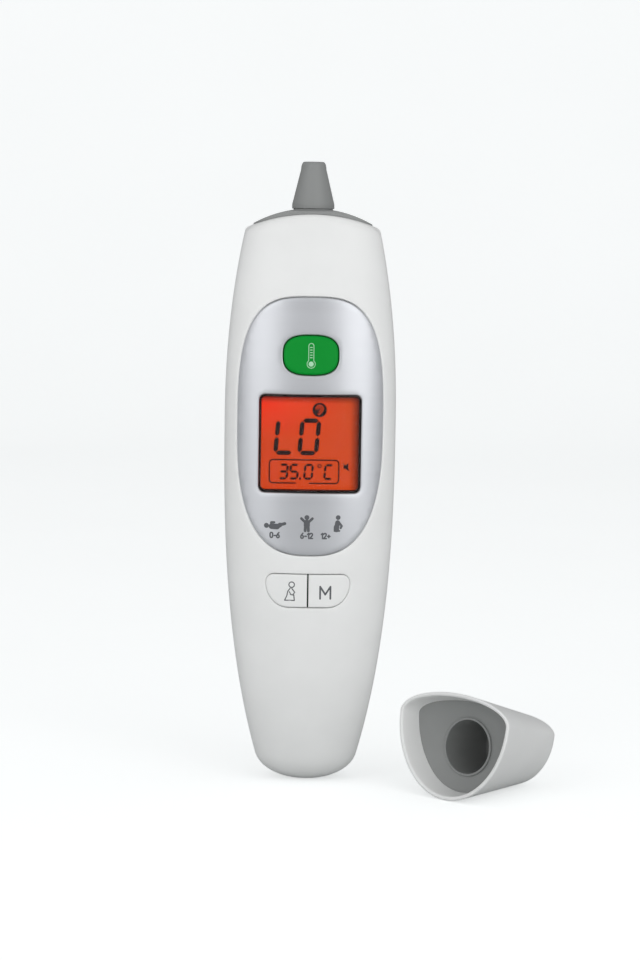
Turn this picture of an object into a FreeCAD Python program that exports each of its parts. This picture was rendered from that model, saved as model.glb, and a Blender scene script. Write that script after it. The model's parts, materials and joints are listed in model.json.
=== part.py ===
import FreeCAD, Part
import math
import os
import re
import Sketcher
from FreeCAD import Vector, Rotation, Placement

# Ear thermometer standing on its tail: X to the right, Y towards the back, Z up the probe axis.
# The origin is the middle of the small flat on the tail. All sizes are millimetres.

doc = FreeCAD.newDocument("EarThermometer")
sheet = doc.addObject("Spreadsheet::Sheet", "Dims")

DIMENSIONS = [
    ("CrownLevel", 91.0, "height of the widest section of the handle"),
    ("CrownWide", 21.15, "half width there"),
    ("CrownFront", 9.3, "depth in front of the parting plane there"),
    ("CrownBack", 22.0, "depth behind the parting plane there"),
    ("TopReach", 49.0, "from the widest section up to the shoulder"),
    ("TopPower", 2.2, "how late the form draws in above the widest section"),
    ("WideDropTop", 5.04, "loss of half width at the shoulder"),
    ("FrontDropTop", 2.9, "loss of front depth at the shoulder"),
    ("BackDropTop", 2.1, "loss of back depth at the shoulder"),
    ("TailPower", 2.6, "how late the form draws in below the widest section"),
    ("WideDropTail", 10.36, "loss of half width at the tail"),
    ("FrontDropTail", 3.0, "loss of front depth at the tail"),
    ("BackDropTail", 8.0, "loss of back depth at the tail"),
    ("NoseHigh", 7.0, "height of the rounded tail end"),
    ("NosePower", 2.3, "squareness of the rounded tail end"),
    ("NoseFlat", 0.1, "how far the round is cut short to leave the flat"),
    ("PartingBack", 6.7, "parting plane in front of the probe axis"),
    ("PartingBend", 78.0, "radius of the parting line near the tail"),
    ("PartingBendTop", 30.0, "height where that bend starts"),
    ("ShoulderRadius", 41.0, "arch of the white shoulder"),
    ("ShoulderCentre", 100.6, "height of the centre of that arch"),
    ("ShoulderRound", 1.6, "rounding of the shoulder edge"),
    ("Wall", 1.9, "shell wall"),
    ("Seam", 0.12, "half of a seam between fixed covers"),
    ("PlateThick", 1.5, "faceplate"),
    ("PlateWide", 17.9, "half width of the faceplate"),
    ("PlateLow", 58.3, "lower end of the faceplate"),
    ("PlateTop", 121.4, "upper end of the faceplate"),
    ("PlateLip", 2.6, "ledge that carries the faceplate"),
    ("WindowWide", 25.1, "display window"),
    ("WindowHigh", 24.1, "display window"),
    ("WindowLevel", 85.65, "height of its centre"),
    ("WindowRound", 1.6, "its corners"),
    ("PaneThick", 1.0, "clear pane"),
    ("PaneDrop", 0.3, "pane below the faceplate surface"),
    ("GlassWide", 26.8, "display glass"),
    ("GlassHigh", 25.8, "display glass"),
    ("GlassThick", 1.6, "display glass"),
    ("GlassFront", -11.9, "front of the display glass"),
    ("LightThick", 1.8, "light guide behind the glass"),
    ("ZebraWide", 22.0, "rubber connector along the upper edge of the glass"),
    ("BoardBack", -6.8, "rear face of the circuit board"),
    ("BoardThick", 1.2, "circuit board"),
    ("BoardWide", 31.0, "circuit board"),
    ("BoardLow", 40.0, "circuit board"),
    ("BoardTop", 120.0, "circuit board"),
    ("BossRadius", 2.3, "screw bosses"),
    ("ScrewBore", 0.9, "pilot holes in the bosses"),
    ("BoardScrewSide", 13.2, "board screws from the middle"),
    ("BoardScrewLow", 57.0, "height of the lower pair"),
    ("BoardScrewHigh", 116.6, "height of the upper pair"),
    ("ScanWide", 13.3, "scan button"),
    ("ScanHigh", 9.45, "scan button"),
    ("ScanLevel", 107.35, "scan button"),
    ("ScanProud", 0.4, "scan button above the faceplate"),
    ("ScanTravel", 0.6, "scan button stroke"),
    ("KeyWide", 20.7, "the two keys together"),
    ("KeyTop", 53.5, "their straight upper edge"),
    ("KeyLow", 45.4, "their short lower edge"),
    ("KeyFoot", 4.9, "half of that lower edge"),
    ("KeyRound", 2.0, "upper corners"),
    ("KeySplit", 0.5, "gap between the keys"),
    ("KeyProud", 0.15, "keys above the shell"),
    ("KeyTravel", 0.4, "key stroke"),
    ("KeyMiddle", 5.4, "centre of one key from the middle"),
    ("KeyLevel", 49.5, "centre height of the keys"),
    ("ButtonGap", 0.2, "clearance round buttons and keys"),
    ("StemRadius", 1.3, "switch stems"),
    ("CellRadius", 5.25, "micro cell"),
    ("CellLong", 43.3, "micro cell without its nub"),
    ("CellLow", 17.6, "lower end of the cells"),
    ("CellSide", 5.4, "cell axis from the middle"),
    ("CellBack", 0.5, "cell axis behind the probe axis"),
    ("TrayWide", 22.6, "cell tray"),
    ("TrayLow", 14.4, "cell tray"),
    ("TrayTop", 65.4, "cell tray"),
    ("TrayFront", -6.0, "cell tray"),
    ("DoorPlane", 2.0, "side edges of the cell door"),
    ("DoorTop", 66.0, "upper edge of the cell door"),
    ("DoorGap", 0.3, "clearance round the cell door"),
    ("GripLow", 52.2, "lowest of the grooves across the cell door"),
    ("GripPitch", 2.6, "between those grooves"),
    ("GripWide", 13.0, "length of a groove"),
    ("GripRadius", 0.9, "radius of a groove"),
    ("GripDepth", 0.45, "depth of a groove"),
    ("CaseScrewSide", 13.6, "housing screws from the middle"),
    ("CaseScrewLevel", 34.0, "housing screws"),
    ("CollarInset", 1.5, "collar inside the shoulder outline"),
    ("CollarPeak", 143.0, "top of the collar"),
    ("CollarArch", 30.0, "arch of the collar from side to side"),
    ("CollarDome", 90.0, "arch of the collar from front to back"),
    ("PlugInset", 4.8, "collar plug inside the shoulder outline"),
    ("PlugLow", 136.0, "lower end of the collar plug"),
    ("LandRadius", 5.25, "seat where a disposable probe cover snaps on"),
    ("LandTop", 144.2, "upper end of that seat"),
    ("LandStep", 0.35, "how much thinner the probe is below that seat"),
    ("FlangeRadius", 7.4, "flange that holds the probe under the collar"),
    ("FlangeLow", 134.4, "that flange"),
    ("FlangeTop", 135.8, "that flange"),
    ("ProbeRoot", 5.0, "probe cone above the seat"),
    ("ProbeTip", 3.15, "probe cone at its upper end"),
    ("ProbeTipLevel", 152.6, "where the cone turns into the rounded tip"),
    ("ProbeEnd", 154.5, "end of the probe"),
    ("ProbeWall", 0.8, "wall of the probe"),
    ("ProbeEye", 2.2, "opening in the tip"),
    ("SensorBase", 121.4, "rear face of the sensor board"),
    ("CapLong", 29.7, "cap from mouth to closed end"),
    ("CapShrink", 0.646, "closed end to mouth"),
    ("CapRound", 3.2, "rounding of the closed end"),
    ("CapWide", 16.8, "half width of the mouth"),
    ("CapFront", 6.4, "depth of the mouth before its parting plane"),
    ("CapBack", 19.9, "depth of the mouth behind its parting plane"),
    ("CapWall", 1.0, "wall at the rim"),
    ("LinerEdge", 4.6, "liner below the rim at its outer edge"),
    ("LinerEye", 7.3, "liner below the rim at its socket"),
    ("SocketRadius", 6.6, "socket that goes over the probe"),
    ("SocketWall", 1.1, "wall of that socket"),
    ("SocketEnd", 24.3, "socket floor below the rim"),
    ("CapTurn", 49.0, "direction of the cap's closed end from +X, in degrees"),
    ("CapRight", 35.2, "cap mouth centre"),
    ("CapAhead", 24.2, "cap mouth centre in front of the probe axis"),
]

ALIASES = [name for name, value, note in DIMENSIONS]
for row, (name, value, note) in enumerate(DIMENSIONS, 1):
    sheet.set("A%d" % row, note)
    sheet.set("B%d" % row, str(value))
    sheet.setAlias("B%d" % row, name)
doc.recompute()


def size(name):
    """A dimension read back from the sheet."""
    return float(sheet.get(name))


def bound(text):
    """An expression with the sheet's name put before each alias."""
    return re.sub(r"\b([A-Z][A-Za-z]+)\b", r"Dims.\1", str(text))


subparts = {}


def keep(label, item):
    """Registers an object as a sub-part of its own."""
    item.Label = label
    subparts[label] = item
    return item


def place(item, corner, rotation=None):
    if rotation is not None:
        item.Placement = Placement(Vector(), rotation)
    for axis, text in zip("xyz", corner):
        item.setExpression("Placement.Base." + axis, bound(text))
    return item


def box(name, extents, corner):
    item = doc.addObject("Part::Box", name)
    for prop, text in zip(("Length", "Width", "Height"), extents):
        item.setExpression(prop, bound(text))
    return place(item, corner)


def centred_box(name, extents, centre):
    """A box given by its middle in X and Z and its front face in Y."""
    corner = ("%s - (%s) / 2" % (centre[0], extents[0]), centre[1],
              "%s - (%s) / 2" % (centre[2], extents[2]))
    return box(name, extents, corner)


ALONG = {"+Z": Rotation(), "+Y": Rotation(Vector(1, 0, 0), -90), "+X": Rotation(Vector(0, 1, 0), 90)}


def rod(name, radius, length, base, along="+Z"):
    item = doc.addObject("Part::Cylinder", name)
    item.setExpression("Radius", bound(radius))
    item.setExpression("Height", bound(length))
    return place(item, base, ALONG[along])


def taper(name, low, high, length, base, along="+Z"):
    item = doc.addObject("Part::Cone", name)
    item.setExpression("Radius1", bound(low))
    item.setExpression("Radius2", bound(high))
    item.setExpression("Height", bound(length))
    return place(item, base, ALONG[along])


def cut(name, base, *tools):
    for number, tool in enumerate(tools):
        item = doc.addObject("Part::Cut", "%s_%d" % (name, number))
        item.Base = base
        item.Tool = tool
        base = item
    return base


def common(name, *shapes):
    item = doc.addObject("Part::MultiCommon", name)
    item.Shapes = list(shapes)
    return item


def fuse(name, *shapes):
    item = doc.addObject("Part::MultiFuse", name)
    item.Shapes = list(shapes)
    return item


def group(name, *shapes):
    """Separate solids kept in one sub-part."""
    item = doc.addObject("Part::Compound", name)
    item.Links = list(shapes)
    return item


def feature(name, shape):
    item = doc.addObject("Part::Feature", name)
    item.Shape = shape
    return item


# the handle's form

def drawn_in(z, crown, drop_top, drop_tail):
    """Half width or depth at height z: widest at the crown level, less towards both ends."""
    rise = z - size("CrownLevel")
    if rise > 0:
        return crown - drop_top * (rise / size("TopReach")) ** size("TopPower")
    return crown - drop_tail * (-rise / size("CrownLevel")) ** size("TailPower")


def nose(z):
    """Share of the section that the rounded tail end leaves at height z."""
    below = size("NoseHigh") - z
    if below <= 0:
        return 1.0
    power = size("NosePower")
    return (1 - (below / (size("NoseHigh") + size("NoseFlat"))) ** power) ** (1 / power)


def parting(z):
    """Y of the parting plane at height z: straight, then an arc that swings back to the tail."""
    below = max(size("PartingBendTop") - z, 0.0)
    bend = size("PartingBend")
    return bend - size("PartingBack") - math.sqrt(bend ** 2 - below ** 2)


def section(wide, front, back, y, z):
    """Two half ellipses that share one half width, joined on the plane at y."""
    halves = []
    for depth in (back, -front):
        unit = Part.Arc(Vector(-1, 0, 0), Vector(0, 1, 0), Vector(1, 0, 0)).toShape()
        matrix = FreeCAD.Matrix()
        matrix.scale(wide, depth, 1)
        matrix.move(Vector(0, y, z))
        halves.append(unit.transformGeometry(matrix))
    return Part.Wire(halves)


def form_section(z, inset):
    share = nose(z)
    wide = drawn_in(z, size("CrownWide"), size("WideDropTop"), size("WideDropTail")) * share
    front = drawn_in(z, size("CrownFront"), size("FrontDropTop"), size("FrontDropTail")) * share
    back = drawn_in(z, size("CrownBack"), size("BackDropTop"), size("BackDropTail")) * share
    return section(wide - inset, front - inset, back - inset, parting(z), z)


NOSE_STEPS = 8
BODY_STEPS = 16
FORM_TOP = 147.0
BAND_LOW = 34.0
BAND_HIGH = 130.0


def form(name, inset, low=BAND_LOW, high=BAND_HIGH):
    """The handle's solid form between two heights, its skin moved in by inset."""
    nose_high = size("NoseHigh")
    levels = [nose_high * (1 - math.cos(math.pi / 2 * k / NOSE_STEPS)) for k in range(NOSE_STEPS)]
    levels += [nose_high + (FORM_TOP - nose_high) * (k / BODY_STEPS) ** 1.3
               for k in range(BODY_STEPS + 1)]
    levels = [low] + [z for z in levels if low + 0.1 < z < high - 0.4] + [high]
    wires = [form_section(z, inset) for z in levels]
    return feature(name, Part.makeLoft(wires, True, False))


def prism_y(name, wire, front=-30.0, back=0.0):
    """A flat outline in X and Z, drawn through the form from front to back."""
    face = Part.Face(wire)
    face.translate(Vector(0, front, 0))
    return feature(name, face.extrude(Vector(0, back - front, 0)))


def closed_curve(points):
    curve = Part.BSplineCurve()
    curve.interpolate(points, PeriodicFlag=True)
    return Part.Wire(curve.toShape())


def super_oval(centre, wide, high_up, high_down, power_up, power_down, steps=48):
    """A superellipse in X and Z with its own height and squareness above and below the centre."""
    points = []
    for k in range(steps):
        turn = 2 * math.pi * k / steps
        across, up = math.cos(turn), math.sin(turn)
        power = power_up if up >= 0 else power_down
        high = high_up if up >= 0 else high_down
        x = wide * math.copysign(abs(across) ** (2 / power), across)
        z = high * math.copysign(abs(up) ** (2 / power), up)
        points.append(Vector(x, 0, centre + z))
    return closed_curve(points)


def round_box(wide, high, centre, radius):
    """A rectangle in X and Z with round corners."""
    edges = []
    x, z = wide / 2, high / 2
    corners = ((x, z, 0), (-x, z, 90), (-x, -z, 180), (x, -z, 270))
    ends = []
    for cx, cz, start in corners:
        mx = cx - math.copysign(radius, cx)
        mz = cz - math.copysign(radius, cz) + centre
        arc = [Vector(mx + radius * math.cos(math.radians(start + turn)), 0,
                      mz + radius * math.sin(math.radians(start + turn))) for turn in (0, 45, 90)]
        edges.append(Part.Arc(*arc).toShape())
        ends.append((arc[0], arc[2]))
    for k in range(4):
        edges.append(Part.LineSegment(ends[k][1], ends[(k + 1) % 4][0]).toShape())
    return Part.Wire(Part.__sortEdges__(edges))


def key_outline(grow, left=True, right=True):
    """The D of the two keys: straight top, sides that curve in to a short foot."""
    half = size("KeySplit") / 2 - grow
    top, low = size("KeyTop") + grow, size("KeyLow") - grow
    wide = size("KeyWide") / 2 + grow
    foot = size("KeyFoot")
    corner = size("KeyRound") + grow
    bend = top - corner
    diagonal = math.sqrt(0.5)
    side = [
        Part.Arc(Vector(wide - corner, 0, top),
                 Vector(wide - corner + corner * diagonal, 0, bend + corner * diagonal),
                 Vector(wide, 0, bend)).toShape(),
    ]
    matrix = FreeCAD.Matrix()
    matrix.scale(wide - foot, 1, bend - low)
    matrix.move(Vector(foot, 0, bend))
    quarter = Part.Arc(Vector(1, 0, 0), Vector(diagonal, 0, -diagonal), Vector(0, 0, -1)).toShape()
    side.append(quarter.transformGeometry(matrix))
    if left and right:
        mirror = [edge.mirror(Vector(), Vector(1, 0, 0)) for edge in side]
        edges = side + mirror
        edges.append(Part.LineSegment(Vector(foot, 0, low), Vector(-foot, 0, low)).toShape())
        edges.append(Part.LineSegment(Vector(corner - wide, 0, top),
                                      Vector(wide - corner, 0, top)).toShape())
    else:
        edges = side
        edges.append(Part.LineSegment(Vector(foot, 0, low), Vector(half, 0, low)).toShape())
        edges.append(Part.LineSegment(Vector(half, 0, low), Vector(half, 0, top)).toShape())
        edges.append(Part.LineSegment(Vector(half, 0, top), Vector(wide - corner, 0, top)).toShape())
    wire = Part.Wire(Part.__sortEdges__(edges))
    if left and not right:
        wire = wire.mirror(Vector(), Vector(1, 0, 0))
    return wire


outer = form("form_outer", 0.0, 0.0, FORM_TOP)
plate_back = form("form_plate_back", size("PlateThick"))
inner = form("form_inner", size("Wall"), low=2.0, high=135.0)

# The shoulder: everything above an arch that runs from side to side.
shoulder_rod = rod("shoulder_rod", "ShoulderRadius", 60, (0, -30, "ShoulderCentre"), "+Y")
above_shoulder = cut("above_shoulder", box("shoulder_block", (60, 60, 40), (-30, -30, 120)),
                     shoulder_rod)
arched = cut("arched", outer, above_shoulder)
doc.recompute()

rounded = doc.addObject("Part::Fillet", "rounded")
rounded.Base = arched
rim_edges = [number for number, edge in enumerate(arched.Shape.Edges, 1)
             if edge.BoundBox.ZMin > size("ShoulderCentre") + 30]
rounded.Edges = [(number, size("ShoulderRound"), size("ShoulderRound")) for number in rim_edges]
doc.recompute()

# The space in front of the parting line, as a block whose rear face follows it.
line_top = Vector(0, parting(100), FORM_TOP + 5)
bend_top = Vector(0, parting(100), size("PartingBendTop"))
bend_low = Vector(0, parting(-3), -3)
bend_mid = Vector(0, parting(13), 13)
FAR = 40.0


def front_block(name, gap):
    """All that lies in front of the parting line, less the gap."""
    move = Vector(0, -gap, 0)
    edges = [
        Part.LineSegment(line_top + move, bend_top + move).toShape(),
        Part.Arc(bend_top + move, bend_mid + move, bend_low + move).toShape(),
        Part.LineSegment(bend_low + move, Vector(0, -FAR, -3)).toShape(),
        Part.LineSegment(Vector(0, -FAR, -3), Vector(0, -FAR, FORM_TOP + 5)).toShape(),
        Part.LineSegment(Vector(0, -FAR, FORM_TOP + 5), line_top + move).toShape(),
    ]
    face = Part.Face(Part.Wire(Part.__sortEdges__(edges)))
    face.translate(Vector(-FAR, 0, 0))
    return feature(name, face.extrude(Vector(2 * FAR, 0, 0)))


front_side = front_block("front_side", size("Seam"))
not_back_side = front_block("not_back_side", -size("Seam"))

# The hole in the top of the shells that the collar's plug fills.
plug_wire = form_section(140.0, size("PlugInset"))


def straight_up(name, wire, low, high):
    face = Part.Face(wire)
    face.translate(Vector(0, 0, low - wire.BoundBox.ZMin))
    return feature(name, face.extrude(Vector(0, 0, high - low)))


top_hole = straight_up("top_hole", plug_wire, 134.0, FORM_TOP)

# faceplate, display window and its opening in the front shell

plate_middle = (size("PlateTop") + size("PlateLow")) / 2
plate_high = (size("PlateTop") - size("PlateLow")) / 2


def plate_outline(grow):
    return super_oval(plate_middle, size("PlateWide") + grow, plate_high + grow,
                      plate_high + grow, 3.2, 2.7)


def scan_outline(grow):
    high = size("ScanHigh") / 2 + grow
    return super_oval(size("ScanLevel"), size("ScanWide") / 2 + grow, high, high, 2.8, 2.8, 32)


def window_outline(grow):
    return round_box(size("WindowWide") + 2 * grow, size("WindowHigh") + 2 * grow,
                     size("WindowLevel"), size("WindowRound") + grow)


plate_prism = prism_y("plate_prism", plate_outline(0))
plate_skin = common("plate_skin", cut("plate_band", outer, plate_back), plate_prism)
keep("faceplate", cut("faceplate_cut", plate_skin,
                      prism_y("scan_opening", scan_outline(size("ButtonGap"))),
                      prism_y("window_opening", window_outline(0.0))))

pane_front = form("form_pane_front", size("PaneDrop"))
pane_back = form("form_pane_back", size("PaneDrop") + size("PaneThick"))
keep("display_window", common("display_window_cut", cut("pane_band", pane_front, pane_back),
                              prism_y("pane_prism", window_outline(-0.05))))

# housing

key_opening = prism_y("key_opening", key_outline(size("ButtonGap")))
ledge_front = form("form_ledge_front", size("PlateThick") + 0.05)
ledge_back = form("form_ledge_back", 3.1)
ledge_band = common("ledge_band", cut("ledge_skin", ledge_front, ledge_back),
                    prism_y("ledge_outer", plate_outline(1.2), back=-8.2))
front_wall = cut("front_wall", common("front_half", rounded, front_side), inner, top_hole,
                 cut("plate_pocket", prism_y("plate_recess", plate_outline(0.25)), ledge_front))


def board_boss(name, sign, level):
    front = -12.0 if level == "BoardScrewLow" else -11.3
    back = "BoardBack - BoardThick - %g" % front
    return rod(name, "BossRadius", back, ("%d * BoardScrewSide" % sign, front, level), "+Y")


bosses = [board_boss("board_boss_%d%s" % (sign, level[-3:]), sign, level)
          for sign in (-1, 1) for level in ("BoardScrewLow", "BoardScrewHigh")]
case_bosses = [rod("case_boss_%d" % sign, "BossRadius", 4.1,
                   ("%d * CaseScrewSide" % sign, -11.0, "CaseScrewLevel"), "+Y") for sign in (-1, 1)]
boss_trim = form("form_boss_trim", 0.6, low=25.0, high=128.0)
front_bosses = common("front_bosses", fuse("front_boss_set", *bosses, *case_bosses), boss_trim,
                      front_side)
front_solid = fuse("front_fused", front_wall, ledge_band, front_bosses)
screw_holes = [rod("board_hole_%d%s" % (sign, level[-3:]), "ScrewBore", 8,
                   ("%d * BoardScrewSide" % sign, -11.0, level), "+Y")
               for sign in (-1, 1) for level in ("BoardScrewLow", "BoardScrewHigh")]
screw_holes += [rod("case_hole_%d" % sign, "ScrewBore", 12,
                    ("%d * CaseScrewSide" % sign, -10.6, "CaseScrewLevel"), "+Y") for sign in (-1, 1)]
plate_window = prism_y("plate_window", plate_outline(-size("PlateLip")), back=-8.05)
keep("front_shell", cut("front_shell_cut", front_solid, plate_window, key_opening, *screw_holes))

# The rear shell gives way to the cell door below its top edge.
door_cut = box("door_cut", (60, 40, "DoorTop + DoorGap + 5"), (-30, "DoorPlane", -5))
rear_wall = cut("rear_wall", rounded, not_back_side, inner, top_hole, door_cut)
bulkhead_inner = form("form_bulkhead", size("Wall") - 0.2, low=60.0, high=80.0)
bulkhead = common("bulkhead", bulkhead_inner, box("bulkhead_slab", (60, 40, 1.4), (-30, -6.2, 70)))
rear_bosses = []
for sign in (-1, 1):
    barrel = rod("rear_boss_%d" % sign, "BossRadius", "PartingBack - Seam + 0.6",
                 ("%d * CaseScrewSide" % sign, "Seam - PartingBack", "CaseScrewLevel"), "+Y")
    rear_bosses.append(barrel)
rear_boss_set = common("rear_boss_trim", fuse("rear_boss_set", *rear_bosses), boss_trim)
rear_solid = fuse("rear_fused", rear_wall, bulkhead, rear_boss_set)
rear_holes = [rod("rear_hole_%d" % sign, 1.15, 12,
                  ("%d * CaseScrewSide" % sign, -8, "CaseScrewLevel"), "+Y") for sign in (-1, 1)]
rear_holes += [rod("rear_seat_%d" % sign, 1.85, 4,
                   ("%d * CaseScrewSide" % sign, 0.6, "CaseScrewLevel"), "+Y") for sign in (-1, 1)]
keep("rear_shell", cut("rear_shell_cut", rear_solid, *rear_holes))

# The door slides down and off: a trough behind its plane, the tail's back included, and a tongue.
door_space = box("door_space", (60, 40, "DoorTop + 5"), (-30, "DoorPlane + DoorGap", -5))
door_skin = common("door_skin", cut("door_wall", outer, inner), door_space)
tongue_outer = form("form_tongue_outer", size("Wall") + 0.3, low=60.0, high=69.0)
tongue_inner = form("form_tongue_inner", size("Wall") + 1.5, low=60.0, high=69.0)
tongue = common("tongue", cut("tongue_band", tongue_outer, tongue_inner),
                box("tongue_space", (16, 40, 5.6), (-8, "DoorPlane", 63.4)))
tongue_root = common("tongue_root", cut("tongue_root_band", outer, tongue_inner),
                     box("tongue_root_space", (16, 40, 2.4), (-8, "DoorPlane", 63.4)))


def grip_groove(number):
    """One of the grooves across the back that the thumb pushes the door by."""
    level = size("GripLow") + size("GripPitch") * number
    skin = parting(level) + drawn_in(level, size("CrownBack"), size("BackDropTop"), size("BackDropTail"))
    return rod("grip_%d" % number, "GripRadius", "GripWide",
               ("-GripWide / 2", "%g + GripRadius - GripDepth" % skin, level), "+X")


grip_ribs = [grip_groove(number) for number in range(4)]
keep("battery_door", cut("battery_door_cut", fuse("door_fused", door_skin, tongue, tongue_root),
                         *grip_ribs))
pad_outer = form("form_pad", size("Wall") + 0.02, low=20.0, high=60.0)
keep("door_foam_pad", common("door_foam_pad_cut", pad_outer,
                             box("pad_slab", (14, 12, 16), (-7, 7.6, 32))))

# collar and probe

collar_column = straight_up("collar_column", form_section(140.0, size("CollarInset")), 134.0,
                            FORM_TOP)
collar_arch = rod("collar_arch", "CollarArch", 60, (0, -30, "CollarPeak - CollarArch"), "+Y")
collar_dome = rod("collar_dome", "CollarDome", 60, (-30, 0, "CollarPeak - CollarDome"), "+X")
collar_cap = cut("collar_cap", common("collar_top", collar_column, collar_arch, collar_dome),
                 rod("collar_seat", "ShoulderRadius", 60, (0, -30, "ShoulderCentre"), "+Y"))
collar_plug = common("collar_plug_arch", collar_arch,
                     straight_up("collar_plug", form_section(140.0, size("PlugInset") + 0.1),
                                 size("PlugLow"), 141.7))
probe_hole = rod("probe_hole", "LandRadius + 0.05", 20, (0, 0, 130))
keep("probe_collar", cut("probe_collar_cut", fuse("collar_fused", collar_cap, collar_plug),
                         probe_hole))


def plane(body, role):
    return [item for item in body.Origin.OriginFeatures if item.Role == role][0]


def turned(label, corners, arc_end=None):
    """A body of revolution about Z from corners (radius, height), each bound to the sheet.

    arc_end is the number of the corner whose edge to the next one is a bulging arc."""
    body = doc.addObject("PartDesign::Body", label + "_body")
    sketch = body.newObject("Sketcher::SketchObject", label + "_profile")
    sketch.AttachmentSupport = [(plane(body, "XZ_Plane"), "")]
    sketch.MapMode = "FlatFace"
    values = [tuple(evaluate(text) for text in corner) for corner in corners]
    count = len(values)
    for k in range(count):
        start = Vector(values[k][0], values[k][1], 0)
        end = Vector(values[(k + 1) % count][0], values[(k + 1) % count][1], 0)
        sketch.addGeometry(Part.LineSegment(start, end), False)
    for k in range(count):
        sketch.addConstraint(Sketcher.Constraint("Coincident", k, 2, (k + 1) % count, 1))
    for k in range(count):
        for kind, column in (("DistanceX", 0), ("DistanceY", 1)):
            value = values[k][column]
            number = sketch.addConstraint(Sketcher.Constraint(kind, -1, 1, k, 1, value))
            sketch.setExpression("Constraints[%d]" % number, bound(corners[k][column]))
    doc.recompute()
    spin = body.newObject("PartDesign::Revolution", label + "_spin")
    spin.Profile = sketch
    spin.ReferenceAxis = (sketch, ["V_Axis"])
    spin.Angle = 360
    return keep(label, body)


def evaluate(text):
    """The value of an expression over the sheet's aliases: terms joined by + and -."""
    total = 0.0
    for sign, term in re.findall(r"([+-]?)\s*([A-Za-z0-9.]+)", str(text)):
        value = size(term) if term in ALIASES else float(term)
        total += -value if sign == "-" else value
    return total


turned("probe_nozzle", [
    ("LandRadius - ProbeWall", "FlangeLow"), ("FlangeRadius", "FlangeLow"), ("FlangeRadius", "FlangeTop"),
    ("LandRadius - LandStep", "FlangeTop"), ("LandRadius - LandStep", "CollarPeak"),
    ("LandRadius", "CollarPeak"), ("LandRadius", "LandTop"), ("ProbeRoot", "LandTop + 0.15"),
    ("ProbeTip", "ProbeTipLevel"),
    ("ProbeTip - 0.28", "ProbeTipLevel + 0.95"), ("ProbeTip - 0.62", "ProbeEnd - 0.35"),
    ("ProbeEye + 0.1", "ProbeEnd"), ("ProbeEye", "ProbeEnd - 0.05"), ("ProbeEye", "ProbeEnd - 1.6"),
    ("ProbeTip - ProbeWall", "ProbeTipLevel - 0.6"), ("LandRadius - ProbeWall", "LandTop - 1")])
keep("probe_window", rod("probe_window_disc", "ProbeEye - 0.02", 0.6, (0, 0, "ProbeEnd - 1.0")))
keep("nozzle_seal", cut("nozzle_seal_cut", rod("seal_outer", 8.0, 1.0, (0, 0, 134.6)),
                        rod("seal_inner", 7.45, 1.0, (0, 0, 134.6))))
turned("waveguide", [(1.5, 131.4), (2.1, 131.4), (2.1, "ProbeTipLevel - 0.8"),
                     (1.9, "ProbeEnd - 1.3"), (1.5, "ProbeEnd - 1.3")])
turned("sensor_block", [(2.75, 124.6), (5.6, 124.6), (5.6, 132.6), (4.2, 133.4), (4.2, 137.4),
                        (2.15, 137.4), (2.15, 131.4), (2.75, 131.4)])
turned("sensor_can", [(0.0, 124.8), (2.7, 124.8), (2.7, 126.0), (2.3, 126.0), (2.3, 129.6),
                      (0.0, 129.6)])
keep("sensor_board", rod("sensor_disc", 6.2, 1.2, (0, 0, "SensorBase")))


def lead(name, x):
    """One insulated wire: down from the sensor board, round a bend, forward to the main board."""
    low, bend, y = 112.0, 4.0, 2.5
    drop = Part.LineSegment(Vector(x, y, size("SensorBase")), Vector(x, y, low + bend))
    middle = Vector(x, y - bend * (1 - math.sqrt(0.5)), low + bend * (1 - math.sqrt(0.5)))
    turn = Part.Arc(Vector(x, y, low + bend), middle, Vector(x, y - bend, low))
    run = Part.LineSegment(Vector(x, y - bend, low), Vector(x, size("BoardBack"), low))
    path = Part.Wire([drop.toShape(), turn.toShape(), run.toShape()])
    ring = Part.Wire(Part.makeCircle(0.4, Vector(x, y, size("SensorBase")), Vector(0, 0, -1)))
    return feature(name, path.makePipeShell([ring], True, False))


keep("sensor_leads", group("sensor_leads_set",
                           *[lead("lead_%d" % k, 1.6 * (k - 1)) for k in range(3)]))

# display stack and electronics

keep("lcd_panel", centred_box("lcd_glass", ("GlassWide", "GlassThick", "GlassHigh"),
                              (0, "GlassFront", "WindowLevel")))
keep("backlight_plate", centred_box("light_guide", ("GlassWide - 1", "LightThick", "GlassHigh - 1"),
                                    (0, "GlassFront + GlassThick", "WindowLevel")))
keep("backlight_leds", group("led_pair", *[
    centred_box("led_%d" % sign, (2.4, 1.0, 1.2),
                ("%d * 6" % sign, "GlassFront + GlassThick + 0.4", "WindowLevel - GlassHigh / 2 - 0.3"))
    for sign in (-1, 1)]))
holder_block = centred_box("holder_block", ("GlassWide + 1.6", 2.2, "GlassHigh + 4.4"),
                           (0, "GlassFront + GlassThick", "WindowLevel"))
holder_hole = centred_box("holder_hole", ("GlassWide + 0.2", 8, "GlassHigh + 2.4"),
                          (0, -14, "WindowLevel"))
keep("lcd_holder", cut("lcd_holder_cut", holder_block, holder_hole))
gasket_ring = cut("gasket_ring",
                  prism_y("gasket_outer", window_outline(1.1), back=size("GlassFront")),
                  prism_y("gasket_inner", window_outline(0.0)))
keep("window_gasket", common("window_gasket_cut", gasket_ring, form("form_gasket", 1.55)))
keep("zebra_strips", centred_box("zebra_strip", ("ZebraWide", 2.1, 1.0),
                                 (0, "GlassFront + GlassThick", "WindowLevel + GlassHigh / 2 + 0.6")))

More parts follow.
